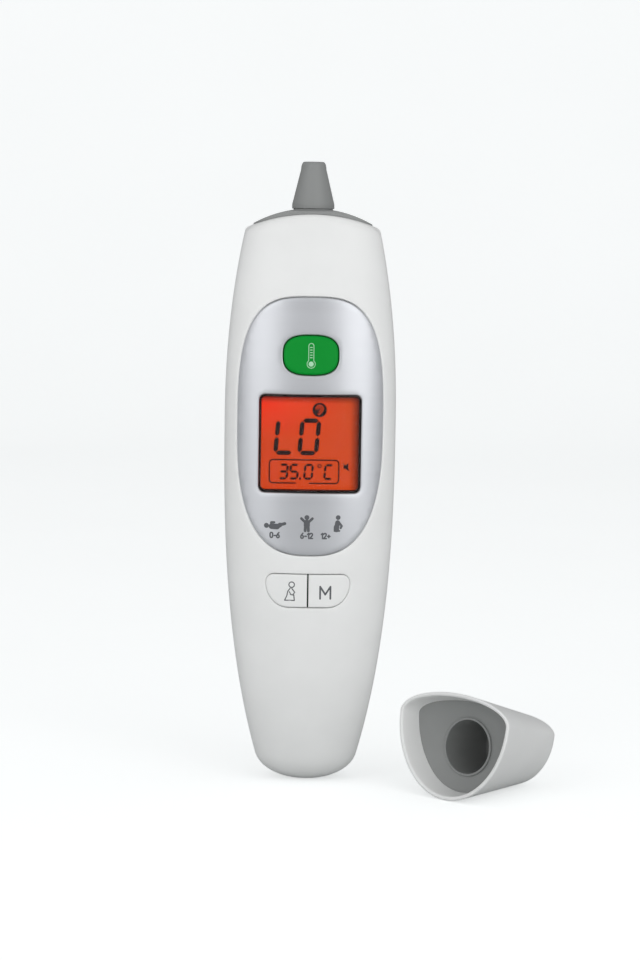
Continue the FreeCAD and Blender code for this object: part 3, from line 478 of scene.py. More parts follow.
def superOval(centre, wide, high, powerUp, powerDown, count=160):
    turn = np.arange(count) * 2 * math.pi / count
    across, up = np.cos(turn), np.sin(turn)
    power = np.where(up >= 0, powerUp, powerDown)
    return np.stack([centre[0] + wide * np.sign(across) * np.abs(across) ** (2 / power),
                     centre[1] + high * np.sign(up) * np.abs(up) ** (2 / power)], 1)


def spread(loop, step):
    # the same outline with its points a step apart
    closed = np.concatenate([loop, loop[:1]])
    run = np.concatenate([[0], np.cumsum(np.linalg.norm(np.diff(closed, axis=0), axis=1))])
    count = max(int(round(run[-1] / step)), 8)
    at = np.arange(count) * run[-1] / count
    return np.stack([np.interp(at, run, closed[:, 0]), np.interp(at, run, closed[:, 1])], 1)


def roundBox(centre, wide, high, radius, arcSteps=8, side=0.6):
    points = []
    for k, (sx, sz) in enumerate(((1, 1), (-1, 1), (-1, -1), (1, -1))):
        for j in range(arcSteps + 1):
            turn = math.pi / 2 * (k + j / arcSteps)
            points.append((centre[0] + sx * (wide / 2 - radius) + radius * math.cos(turn),
                           centre[1] + sz * (high / 2 - radius) + radius * math.sin(turn)))
    filled = []
    for start, end in zip(points, points[1:] + points[:1]):
        cuts = max(int(math.dist(start, end) / side), 1)
        filled += [(start[0] + (end[0] - start[0]) * j / cuts, start[1] + (end[1] - start[1]) * j / cuts)
                   for j in range(cuts)]
    return np.array(filled)


# faceplate with its openings, read from the frame
def middleAndHalf(nodeName, margin=0.0):
    low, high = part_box(nodeName)
    middle = ((low.x + high.x) / 2 / toMetres, (low.z + high.z) / 2 / toMetres)
    return middle, (high.x - low.x) / 2 / toMetres - margin, (high.z - low.z) / 2 / toMetres - margin


plate = {"thick": 1.5, "powerUp": 3.2, "powerDown": 2.7, "gap": 0.25, "rim": 0.35, "step": (0.9, 0.9)}
pane = {"drop": 0.3, "thick": 1.0, "corner": 1.6, "rim": 0.2}
scan = {"flange": 1.0, "gap": 0.2, "proud": 0.4, "deep": 2.9, "power": 2.8, "rim": 0.55}
(plateMiddle, plateWide, plateHigh) = middleAndHalf("faceplate")
(paneMiddle, paneWide, paneHigh) = middleAndHalf("display_window", -0.05)
(scanMiddle, scanWide, scanHigh) = middleAndHalf("scan_button", scan["flange"])


def plateOutline(grow=0.0):
    return superOval((0, plateMiddle[1]), plateWide + grow, plateHigh + grow, plate["powerUp"],
                     plate["powerDown"], 240)


def paneOutline(grow=0.0):
    return roundBox((0, paneMiddle[1]), 2 * (paneWide + grow), 2 * (paneHigh + grow),
                    pane["corner"] + grow)


def scanOutline(grow=0.0):
    return superOval((0, scanMiddle[1]), scanWide + grow, scanHigh + grow, scan["power"], scan["power"], 96)


makePiece("facePlate", [patchMesh([plateOutline()], onFront, 0.0, plate["thick"],
                                  [scanOutline(scan["gap"]), paneOutline()], plate["rim"], plate["step"])],
          "silverPlate", "housing", ["faceplate"])

scanParts = [patchMesh([scanOutline()], onFront, -scan["proud"], scan["deep"], rim=scan["rim"],
                       step=(0.6, 0.6), rimSteps=5),
             patchMesh([scanOutline(scan["flange"])], onFront, plate["thick"] + 0.35, scan["deep"])]
makePiece("scanButton", scanParts, "greenButton", "scan_button", ["scan_button"])

# the two keys share one outline: straight top, sides that curve in to a short foot
keys = {"corner": 2.0, "foot": 4.9, "split": 0.34, "proud": 0.15, "deep": 2.95, "gap": 0.2, "rim": 0.3,
        "flange": 0.9}
keyLow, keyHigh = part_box("memory_key")
keyWide = keyHigh.x / toMetres - keys["flange"]
keyTop, keyFoot = keyHigh.z / toMetres - keys["flange"], keyLow.z / toMetres + keys["flange"]


def keyOutline(grow=0.0, part=0):
    # part 1 is the right key, -1 the left one, 0 both with the gap between them
    wide, top, low = keyWide + grow, keyTop + grow, keyFoot - grow
    corner, foot = keys["corner"] + grow, keys["foot"]
    turns = np.linspace(math.pi / 2, 0, 9)
    side = [(wide - corner + corner * math.cos(t), top - corner + corner * math.sin(t)) for t in turns]
    sweep = np.linspace(0, math.pi / 2, 25)[1:]
    side += [(foot + (wide - foot) * math.cos(t), top - corner - (top - corner - low) * math.sin(t))
             for t in sweep]
    if part == 0:
        loop = side + [(-x, z) for x, z in reversed(side)]
    else:
        near = keys["split"] / 2 - (grow if grow < 0 else 0)
        loop = [(near, top)] + side + [(near, low)]
    loop = np.array(loop)
    if part == -1:
        loop[:, 0] *= -1
    return spread(counterclockwise(loop), 0.35) if part == 0 else counterclockwise(filledSides(loop, 0.5))


def filledSides(loop, step):
    # extra points on the long straight runs, corners kept
    filled = []
    for start, end in zip(loop, np.roll(loop, -1, 0)):
        cuts = max(int(np.linalg.norm(end - start) / step), 1)
        filled += [start + (end - start) * j / cuts for j in range(cuts)]
    return np.array(filled)


for nodeName, part, body in (("mode_key", -1, "mode_button"), ("memory_key", 1, "memory_button")):
    parts = [patchMesh([keyOutline(0.0, part)], onFront, -keys["proud"], keys["deep"], rim=keys["rim"],
                       step=(0.7, 0.7), rimSteps=4),
             patchMesh([keyOutline(keys["flange"], part)], onFront, form["wall"] + 0.3, keys["deep"])]
    makePiece("modeKeyCap" if part < 0 else "memoryKeyCap", parts, "whiteShell", body,
              [nodeName])


# front shell: one band from the flat on the tail over the nose and the sides to the shoulder's rim
def seamTurn(up):
    # the angle at which the skin is a seam's half width away from the parting plane
    there = onSkin(np.array([math.pi / 2 * skin["girth"]]), np.array([float(up)]), np.array([0.0]))
    reach = abs(there[0, 1] - partingAt(there[0, 2]))
    return math.asin(min(form["seam"] / reach, 1.0))


def frontBand():
    girth, half = skin["girth"], math.pi * skin["girth"]
    reach = formAt(0.0)[1]
    start = seamTurn(0.0)
    foot = [(girth * turn, -skin["flatRows"] * (1 - form["seam"] / (reach * math.sin(turn))))
            for turn in np.linspace(start, math.pi - start, 25)[1:-1]]
    ups = np.concatenate([np.linspace(0, noseRows, 15), np.linspace(noseRows, skinTop, 130)[1:]])
    edge = [(girth * seamTurn(up), up) for up in ups]
    far = [(half - across, up) for across, up in edge]
    top = [(across, skinTop) for across in np.linspace(far[-1][0], edge[-1][0], 50)[1:-1]]
    return np.array(foot + far + top + edge[::-1])


shell = {"rim": 0.25, "step": (1.1, 1.1), "ledgeOut": 1.2, "ledgeIn": 2.6, "ledgeFront": 1.55,
         "ledgeBack": 3.1}
shellParts = [patchMesh([frontBand()], onSkin, 0.0, form["wall"],
                        [wrapped(plateOutline(plate["gap"])), wrapped(keyOutline(keys["gap"]))],
                        shell["rim"], shell["step"]),
              patchMesh([plateOutline(shell["ledgeOut"])], onFront, shell["ledgeFront"],
                        shell["ledgeBack"], [plateOutline(-shell["ledgeIn"])])]
makePiece("frontShell", shellParts, "whiteShell", "housing", ["front_shell"])
print("front done")


# display: black frame, lit glass, clear pane
glassLow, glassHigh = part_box("lcd_panel")
glassFace = glassLow.y / toMetres


def onGlass(x, z, depth):
    return np.stack([x, glassFace + depth, z], 1)


# colours of the lit glass, and the colour, depth and widths of the painted shadow of the window frame at its
# right and top
glassLook = {"left": tone(204, 60, 16), "right": tone(202, 66, 14), "corner": tone(250, 40, 12),
             "fleck": tone(226, 92, 34), "paintedShadowColour": tone(60, 12, 8), "dark": 0.06,
             "paintedShadowRight": (0.0027, 0.0006), "paintedShadowTop": (0.0024, 0.0006)}


def glassMaterial():
    # red at the left, brighter at the top left, browner to the right, and a painted shadow of the window
    # frame darkening the right and top edges
    material, tree, shader, place = startMaterial("displayGlow")
    split = node(tree, "ShaderNodeSeparateXYZ", (-1100, 0))
    tree.links.new(place, split.inputs[0])
    left, right = -paneWide * toMetres, paneWide * toMetres
    low, high = (paneMiddle[1] - paneHigh) * toMetres, (paneMiddle[1] + paneHigh) * toMetres
    across = ranged(tree, split.outputs["X"], (-900, 200), 0, 1, left, right)
    colour = blended(tree, across, (-600, 200), glassLook["left"], glassLook["right"])
    upward = ranged(tree, split.outputs["Z"], (-900, -50), 0, 1, (low + high) / 2, high)
    leftward = ranged(tree, split.outputs["X"], (-900, -150), 1, 0, left, right * 0.8)
    corner = node(tree, "ShaderNodeMath", (-600, 0), operation="MULTIPLY")
    tree.links.new(upward, corner.inputs[0])
    tree.links.new(leftward, corner.inputs[1])
    colour = blended(tree, corner.outputs[0], (-400, 200), colour, glassLook["corner"])
    mottle = noise(tree, place, (-900, -700), 160, 2.0)
    colour = blended(tree, ranged(tree, mottle, (-600, -600), 0, 0.12), (-200, 200), colour,
                     glassLook["fleck"])
    # painted shadow of the window frame: the glow fades to a dark colour towards the right and top edges of
    # the glass
    paintedShadowRight, paintedShadowTop = [
        ranged(tree, split.outputs[axis], (-900, level), 1, glassLook["dark"], edge - wide, edge - narrow)
        for axis, level, edge, (wide, narrow) in (("X", -250, right, glassLook["paintedShadowRight"]),
                                                  ("Z", -450, high, glassLook["paintedShadowTop"]))]
    paintedShadowMask = node(tree, "ShaderNodeMath", (-600, -350), operation="MULTIPLY")
    tree.links.new(paintedShadowRight, paintedShadowMask.inputs[0])
    tree.links.new(paintedShadowTop, paintedShadowMask.inputs[1])
    colour = blended(tree, paintedShadowMask.outputs[0], (0, 200), glassLook["paintedShadowColour"], colour)
    tree.links.new(colour, shader.inputs["Emission Color"])
    shader.inputs["Emission Strength"].default_value = 0.95
    shader.inputs["Base Color"].default_value = tone(30, 8, 4)
    shader.inputs["Roughness"].default_value = 0.5
    shader.inputs["Specular IOR Level"].default_value = 0.15
    return material


materials["displayGlow"] = glassMaterial()
glassMiddle = (0, (glassLow.z + glassHigh.z) / 2 / toMetres)
glassWide, glassTall = (glassHigh.x - glassLow.x) / toMetres, (glassHigh.z - glassLow.z) / toMetres
glassDeep = (glassHigh.y - glassLow.y) / toMetres
makePiece("displayGlass", [patchMesh([roundBox(glassMiddle, glassWide, glassTall, 0.3)], onGlass, 0.0,
                                     glassDeep, rim=0.15, step=(3, 3))],
          "displayGlow", "housing", ["lcd_panel"])


def gasketLift(x, z, depth):
    # depth 0 lies just under the plate, depth 1 on the display glass
    front = onFront(x, z, 0.65)
    return np.stack([x, front[:, 1] * (1 - depth) + glassFace * depth, z], 1)


makePiece("windowGasket", [patchMesh([paneOutline(-0.06)], gasketLift, 0.0, 1.0, [paneOutline(-0.62)],
                                     step=(0.5, 0.5))],
          "paneFrame", "housing", ["window_gasket"])


def clearMaterial():
    material, tree, shader, place = startMaterial("clearPane")
    smear = noise(tree, place, (-900, 0), 220, 3.0)
    tree.links.new(ranged(tree, smear, (-600, 0), 0.02, 0.06), shader.inputs["Roughness"])
    shader.inputs["Base Color"].default_value = (1, 1, 1, 1)
    shader.inputs["Transmission Weight"].default_value = 1.0
    shader.inputs["IOR"].default_value = 1.1
    return material


materials["clearPane"] = clearMaterial()
makePiece("displayPane", [patchMesh([paneOutline(-0.05)], onFront, pane["drop"],
                                    pane["drop"] + pane["thick"] * 0.3, rim=pane["rim"])],
          "clearPane", "housing", ["display_window"])
print("display done")


# signs: dots and strokes that are joined into one thin layer
def dot(x, z, radius, count=28):
    turn = np.arange(count) * 2 * math.pi / count
    return np.stack([x + radius * np.cos(turn), z + radius * np.sin(turn)], 1)


def stroke(points, width, caps=8):
    # a rounded bar for each stretch of the line
    loops = []
    points = [np.array(p, float) for p in points]
    for start, end in zip(points, points[1:]):
        heading = math.atan2(end[1] - start[1], end[0] - start[0])
        half = [heading + math.pi / 2 + math.pi * k / caps for k in range(caps + 1)]
        loop = [start + width / 2 * np.array([math.cos(t), math.sin(t)]) for t in half]
        loop += [end - width / 2 * np.array([math.cos(t), math.sin(t)]) for t in half]
        loops.append(np.array(loop))
    return loops


def arc(x, z, radius, start, end, count=10):
    return [(x + radius * math.cos(math.radians(t)), z + radius * math.sin(math.radians(t)))
            for t in np.linspace(start, end, count)]


def scaledLoops(loops, x, z, size):
    # signs are drawn in a unit of their own height, then placed
    return [np.stack([x + size * loop[:, 0], z + size * loop[:, 1]], 1) for loop in loops]


glyphs = {
    "0": [[(0.0, 0.25), (0.0, 0.75), (0.1, 0.95), (0.25, 1.0), (0.4, 0.95), (0.5, 0.75), (0.5, 0.25),
           (0.4, 0.05), (0.25, 0.0), (0.1, 0.05), (0.0, 0.25)]],
    "1": [[(0.05, 0.78), (0.28, 1.0), (0.28, 0.0)]],
    "2": [[(0.0, 0.8), (0.08, 0.95), (0.25, 1.0), (0.43, 0.93), (0.5, 0.75), (0.42, 0.52), (0.0, 0.0),
           (0.52, 0.0)]],
    "6": [[(0.42, 1.0), (0.16, 0.68), (0.0, 0.32), (0.06, 0.08), (0.25, 0.0), (0.44, 0.08), (0.5, 0.3),
           (0.42, 0.52), (0.25, 0.58), (0.06, 0.48)]],
    "-": [[(0.05, 0.42), (0.35, 0.42)]],
    "+": [[(0.0, 0.42), (0.46, 0.42)], [(0.23, 0.19), (0.23, 0.65)]],
    "M": [[(0.0, 0.0), (0.0, 1.0), (0.42, 0.35), (0.84, 1.0), (0.84, 0.0)]],
}
glyphSteps = {"0": 0.74, "1": 0.5, "2": 0.76, "6": 0.74, "-": 0.52, "+": 0.66, "M": 1.0}


def writing(text, x, z, high, width):
    # characters centred on x, their feet at z
    total = sum(glyphSteps[c] for c in text) - 0.24
    at, loops = -total / 2, []
    for c in text:
        for line in glyphs[c]:
            loops += stroke([(px + at, pz) for px, pz in line], width / high)
        at += glyphSteps[c]
    return scaledLoops(loops, x, z, high)


# seven-segment digits in a slanted cell, height 1
segmentRows = {"a": ((0, 1), (1, 1)), "b": ((1, 1), (1, 0.5)), "c": ((1, 0.5), (1, 0)),
               "d": ((1, 0), (0, 0)), "e": ((0, 0), (0, 0.5)), "f": ((0, 0.5), (0, 1)),
               "g": ((0, 0.5), (1, 0.5))}
digitSegments = {"L": "def", "0": "abcdef", "3": "abcdg", "5": "acdfg", "C": "adef"}


def digit(mark, x, z, wide, high, thick, slant):
    loops = []
    for name in digitSegments[mark]:
        (ax, az), (bx, bz) = segmentRows[name]
        inset = thick / 2
        start = np.array([inset + ax * (wide - thick), inset + az * (high - thick)])
        end = np.array([inset + bx * (wide - thick), inset + bz * (high - thick)])
        along = (end - start) / np.linalg.norm(end - start)
        side = np.array([-along[1], along[0]]) * thick / 2
        start, end = start + along * thick * 0.1, end - along * thick * 0.1
        body = along * thick * 0.5
        loop = np.array([start, start + body + side, end - body + side, end, end - body - side,
                         start + body - side])
        loop[:, 0] += slant * loop[:, 1]
        loops.append(loop + np.array([x, z]))
    return loops


display = {"slant": 0.087, "line": 0.34, "bigWide": 5.2, "bigHigh": 9.1, "bigThick": 1.12,
           "smallWide": 2.4, "smallHigh": 3.95, "smallThick": 0.58, "raise": 0.05, "drop": -0.2,
           "frameHigh": 5.75, "frameLow": -9.75, "frameLeft": -9.85, "frameRight": 7.2, "frameRound": 0.9}
base = paneMiddle[1] + display["drop"]


def displaySigns():
    rows = []
    for mark, x in (("L", -9.05), ("0", -3.15)):
        rows += digit(mark, x, base - 2.85, display["bigWide"], display["bigHigh"], display["bigThick"],
                      display["slant"])
    # the lower row in its frame, which is open below the middle
    left, right, corner = display["frameLeft"], display["frameRight"], display["frameRound"]
    low = base + display["frameLow"]
    high = low + display["frameHigh"]
    path = [(-3.4, low), (left + corner, low)] + arc(left + corner, low + corner, corner, 270, 180, 6)
    path += arc(left + corner, high - corner, corner, 180, 90, 6)
    path += arc(right - corner, high - corner, corner, 90, 0, 6)
    path += arc(right - corner, low + corner, corner, 0, -90, 6) + [(0.05, low)]
    rows += stroke(path, display["line"])
    foot = low + 0.85
    for mark, x in (("3", -7.75), ("5", -5.15), ("0", -1.6), ("C", 3.35)):
        rows += digit(mark, x, foot, display["smallWide"], display["smallHigh"], display["smallThick"],
                      display["slant"])
    rows += [dot(-2.3, foot + 0.28, 0.3)]
    rows += stroke(arc(2.45, foot + 3.45, 0.4, 0, 360, 13), 0.26)
    # a small loudspeaker, struck out
    x, z = 8.35, foot + 3.3
    rows += [np.array([(x, z - 0.45), (x + 0.5, z - 0.45), (x + 1.2, z - 1.0), (x + 1.2, z + 1.0),
                       (x + 0.5, z + 0.45), (x, z + 0.45)])]
    rows += stroke([(x - 0.1, z + 0.85), (x + 1.6, z - 1.05)], 0.18)
    return rows


def onGlassFront(x, z, depth):
    return np.stack([x, glassFace - display["raise"] + depth, z], 1)


earDisc = (2.3, base + 8.35)
earSign = stroke(arc(earDisc[0], earDisc[1] + 0.25, 0.88, 185, -35, 12)
                 + [(earDisc[0] + 0.25, earDisc[1] - 0.75), (earDisc[0] - 0.05, earDisc[1] - 1.15),
                    (earDisc[0] - 0.4, earDisc[1] - 1.0)], 0.24)
earSign += stroke(arc(earDisc[0], earDisc[1] + 0.25, 0.42, 190, -30, 8)
                  + [(earDisc[0] - 0.1, earDisc[1] - 0.45)], 0.22)
signParts = [patchMesh(displaySigns(), onGlassFront, 0.0, 0.045, step=(1, 1)),
             patchMesh([dot(*earDisc, 1.78, 48)], onGlassFront, 0.0, 0.045, earSign, step=(1, 1))]
makePiece("displaySigns", signParts, "segmentInk", "housing")


def printed(name, loops, level, finish, body):
    # a printed layer a hair thick that follows the surface at its level
    def lay(x, z, depth):
        return onFront(x, z, level + depth)
    makePiece(name, [patchMesh(loops, lay, -0.012, 0.02, step=(0.5, 0.5))], finish, body)


# three figures over their ages: one lying, one with arms up, one standing
figures = {"level": 64.1, "textLevel": 62.5, "textHigh": 1.28, "textLine": 0.36}


def lyingBaby(x, z):
    loops = [dot(x - 2.1, z + 1.35, 0.62)]
    loops += stroke([(x - 0.85, z + 1.2), (x + 0.5, z + 1.15)], 1.4)
    loops += stroke([(x + 0.5, z + 1.1), (x + 1.25, z + 1.6)], 1.1)
    loops += stroke([(x + 1.25, z + 1.62), (x + 2.4, z + 1.95)], 0.75)
    loops += stroke([(x - 0.9, z + 1.3), (x - 0.95, z + 2.15), (x - 0.2, z + 2.2)], 0.55)
    return loops


def raisedChild(x, z):
    loops = [dot(x, z + 3.55, 0.6)]
    loops += stroke([(x, z + 2.3), (x, z + 1.55)], 1.5)
    loops += stroke([(x - 0.45, z + 2.45), (x - 1.35, z + 3.3)], 0.66)
    loops += stroke([(x + 0.45, z + 2.45), (x + 1.35, z + 3.3)], 0.66)
    loops += stroke([(x - 0.34, z + 1.4), (x - 0.4, z + 0.3)], 0.72)
    loops += stroke([(x + 0.34, z + 1.4), (x + 0.4, z + 0.3)], 0.72)
    return loops


def standingAdult(x, z):
    loops = [dot(x + 0.05, z + 3.6, 0.58)]
    loops += stroke([(x - 0.05, z + 2.35), (x - 0.2, z + 1.5)], 1.2)
    loops += stroke([(x - 0.3, z + 1.3), (x - 0.35, z + 0.65)], 1.35)
    loops += stroke([(x - 0.8, z + 0.3), (x + 0.4, z + 0.3)], 0.45)
    loops += stroke([(x + 0.35, z + 2.3), (x + 0.95, z + 1.5), (x + 0.7, z + 1.0)], 0.56)
    return loops


figureLoops = (lyingBaby(-8.25, figures["level"]) + raisedChild(-0.45, figures["level"])
               + standingAdult(7.15, figures["level"]))
for text, x in (("0-6", -8.3), ("6-12", -0.45), ("12+", 4.15)):
    figureLoops += writing(text, x, figures["textLevel"], figures["textHigh"], figures["textLine"])
printed("plateSigns", figureLoops, 0.0, "printGrey", "housing")

# the outlined thermometer on the green button
bulb = (0.05, scanMiddle[1] - 2.1)
tube = 0.62
scanSign = stroke(arc(bulb[0], bulb[1], 1.0, 128, 412, 18), 0.16)
scanSign += stroke([(bulb[0] - tube, bulb[1] + 0.8), (bulb[0] - tube, bulb[1] + 4.4)]
                   + arc(bulb[0], bulb[1] + 4.4, tube, 180, 0, 9)
                   + [(bulb[0] + tube, bulb[1] + 0.8)], 0.16)
scanSign += [dot(bulb[0], bulb[1], 0.62)]
printed("scanSign", scanSign, -scan["proud"], "printPale", "scan_button")

# short marks up its tube, set out by a node tree
ticks = {"count": 5, "low": 1.55, "gap": 0.62, "wide": 0.62, "thick": 0.2, "deep": 0.05}
tickTree, sizes, last = startTree("tickRow", (("Count", "Int"), ("Start", "Vector"), ("Step", "Vector"),
                                              ("Mark", "Vector")))
row = node(tickTree, "GeometryNodeMeshLine", (-400, 100), mode="OFFSET")
mark = node(tickTree, "GeometryNodeMeshCube", (-400, -200))
setOut = node(tickTree, "GeometryNodeInstanceOnPoints", (100, 0))
wireUp(tickTree, (sizes.outputs["Count"], row.inputs["Count"]),
       (sizes.outputs["Start"], row.inputs["Start Location"]),
       (sizes.outputs["Step"], row.inputs["Offset"]), (sizes.outputs["Mark"], mark.inputs["Size"]),
       (row.outputs[0], setOut.inputs["Points"]), (mark.outputs[0], setOut.inputs["Instance"]))
endTree(tickTree, setOut.outputs[0], last, "printPale")
tickEnds = onFront(np.array([bulb[0], bulb[0]]),
                   np.array([0.0, ticks["gap"] * (ticks["count"] - 1)]) + bulb[1] + ticks["low"],
                   -scan["proud"])
tickStep = (tickEnds[1] - tickEnds[0]) / (ticks["count"] - 1)
makePiece("scanTicks", [treeMesh(tickTree, {"Count": ticks["count"], "Start": tickEnds[0].tolist(),
                                            "Step": tickStep.tolist(),
                                            "Mark": (ticks["wide"], ticks["deep"], ticks["thick"])})],
          "printPale", "scan_button")

# the figure and the letter on the keys
px, pz = -4.4, 46.95
person = stroke(arc(px + 0.45, pz + 4.05, 0.68, 0, 360, 17), 0.27)
person += stroke([(px + 0.1, pz + 3.15), (px - 0.5, pz + 2.4), (px - 0.7, pz + 1.3),
                  (px - 1.25, pz + 0.15), (px + 1.15, pz + 0.15), (px + 1.0, pz + 1.5)], 0.27)
person += stroke([(px + 0.5, pz + 3.1), (px + 1.2, pz + 2.2), (px + 0.75, pz + 1.5),
                  (px + 0.15, pz + 1.6)], 0.27)
person += stroke([(px - 0.15, pz + 2.3), (px + 0.3, pz + 1.6)], 0.24)
printed("modeSign", person, -keys["proud"], "printGrey", "mode_button")
printed("memorySign", writing("M", 4.2, 47.6, 3.0, 0.44), -keys["proud"], "printGrey",
        "memory_button")
print("signs done")


# collar: a low arched ring on the shoulder, its outline a section of the form
collar = {"inset": 1.5, "level": 140.0, "arch": 30.0, "dome": 90.0, "peak": 143.0, "hole": 5.3, "rim": 0.25}


def sectionLoop(z, inset, count=200):
    wide, front, back = [float(size) - inset for size in formAt(z)]
    turn = np.arange(count) * 2 * math.pi / count
    reach = np.where(np.sin(turn) >= 0, front, back)
    return np.stack([wide * np.cos(turn), partingAt(z) - reach * np.sin(turn)], 1)


def onCollar(x, y, depth):
    roof = np.minimum(collar["peak"] - collar["arch"] + np.sqrt(collar["arch"] ** 2 - x ** 2),
                      collar["peak"] - collar["dome"] + np.sqrt(collar["dome"] ** 2 - y ** 2))
    floor = archAt(x)
    thick = np.maximum(roof - floor, 0.12)
    return np.stack([x, y, floor + thick * (1 - depth)], 1)


def collarPatch():
    outline = spread(sectionLoop(collar["level"], collar["inset"]), 0.5)
    return patchMesh([outline], onCollar, 0.0, 1.0, [dot(0, 0, collar["hole"], 72)], 0.0, (0.8, 0.8))


makePiece("probeCollar", [collarPatch()], "greyPlastic", "housing", ["probe_collar"])

# probe: seat, cone with a light flare at its root, rounded tip with the sensor's window
probe = {"seat": 5.25, "seatTop": 144.2, "tip": 3.15, "tipLevel": 152.6,
         "end": 154.5, "eye": 2.2, "wall": 0.8}


def probeProfile():
    seat, end, eye = probe["seat"], probe["end"], probe["eye"]
    rows = [(4.45, 134.4), (7.4, 134.4), (7.4, 135.8), (4.9, 135.8), (4.9, 142.9), (seat, 143.0),
            (seat - 0.01, probe["seatTop"] - 0.3), (seat - 0.05, probe["seatTop"]),
            (seat - 0.14, probe["seatTop"] + 0.4), (seat - 0.28, probe["seatTop"] + 0.9)]
    for k in range(1, 9):
        share = k / 8
        level = probe["seatTop"] + 0.9 + (probe["tipLevel"] - probe["seatTop"] - 0.9) * share
        rows.append((seat - 0.28 - (seat - 0.28 - probe["tip"]) * share, level))
    for k in range(1, 9):
        turn = math.pi / 2 * k / 8
        rows.append((eye + 0.12 + (probe["tip"] - eye - 0.12) * math.cos(turn),
                     probe["tipLevel"] + (end - probe["tipLevel"]) * math.sin(turn)))
    rows += [(eye + 0.03, end - 0.03), (eye, end - 0.12), (eye, end - 1.6),
             (probe["tip"] - probe["wall"], probe["tipLevel"] - 0.6), (4.45, probe["seatTop"] - 1)]
    return rows


makePiece("probeNozzle", [latheMesh(probeProfile(), 128)], "greyPlastic", "housing",
          ["probe_nozzle"], sharp=32)


# the loose cap: drawn with its mouth at 0 and its closed end up, then laid down as in the frame
cap = {"long": 29.7, "shrink": 0.646, "round": 3.2, "wide": 16.8, "front": 6.4, "back": 19.9, "wall": 1.0,
       "turn": 49.0, "right": 35.2, "ahead": 24.2, "linerEdge": 4.6, "linerEye": 7.3, "socket": 6.6,
       "socketWall": 1.1, "socketEnd": 24.3, "points": 180, "innerEnd": 28.1, "linerReach": 19.0,
       "linerBack": 8.7}
capTurns = np.arange(cap["points"]) * 2 * math.pi / cap["points"]


def capRing(z, inset):
    share = 1 - (1 - cap["shrink"]) * z / cap["long"]
    reach = np.where(np.sin(capTurns) >= 0, cap["back"], cap["front"]) * share - inset
    x = (cap["wide"] * share - inset) * np.cos(capTurns)
    y = reach * np.sin(capTurns) - form["parting"] * share
    return np.stack([x, y, np.full(len(x), z)], 1)


def laidDown(points):
    drop = (cap["back"] - form["parting"]) * (1 - cap["shrink"])
    tilt, turn = math.atan2(drop, cap["long"]), math.radians(cap["turn"])
    axis = Vector((math.cos(turn) * math.cos(tilt), math.sin(turn) * math.cos(tilt), -math.sin(tilt)))
    side = Vector((math.sin(turn), -math.cos(turn), 0))
    lower = axis.cross(side)
    lift = (cap["back"] - form["parting"]) * -lower.z
    spin = Matrix((side, lower, axis)).transposed()
    return points @ np.array(spin).T + np.array([cap["right"], -cap["ahead"], lift])


def capShell():
    rings = []
    wall, rim, end, corner = cap["wall"], 0.42, cap["long"], cap["round"]
    inside = capRing(cap["innerEnd"], corner)
    for share in (0.86, 0.7, 0.52, 0.34, 0.16):  # inner closed end, from its middle outwards
        rings.append(inside + (inside.mean(0) - inside) * share)
    for k in range(6):
        turn = math.pi / 2 * k / 5
        rings.append(capRing(cap["innerEnd"] - (corner - wall) * (1 - math.cos(turn)),
                             wall + (corner - wall) * (1 - math.sin(turn))))
    for z in np.linspace(cap["innerEnd"] - corner, 1.5, 14):
        rings.append(capRing(z, wall))
    for k in range(9):  # round rim
        turn = math.pi * k / 8
        rings.append(capRing(rim * (1 - math.sin(turn)), wall / 2 + wall / 2 * math.cos(turn)))
    for z in np.linspace(1.5, end - corner, 16):
        rings.append(capRing(z, 0.0))
    for k in range(1, 8):
        turn = math.pi / 2 * k / 8
        rings.append(capRing(end - corner + corner * math.sin(turn), corner * (1 - math.cos(turn))))
    outside = capRing(end, corner)
    for share in (0.0, 0.16, 0.34, 0.52, 0.7, 0.86):
        rings.append(outside + (outside.mean(0) - outside) * share)
    verts, faces = loftMesh(rings)
    return laidDown(verts), faces


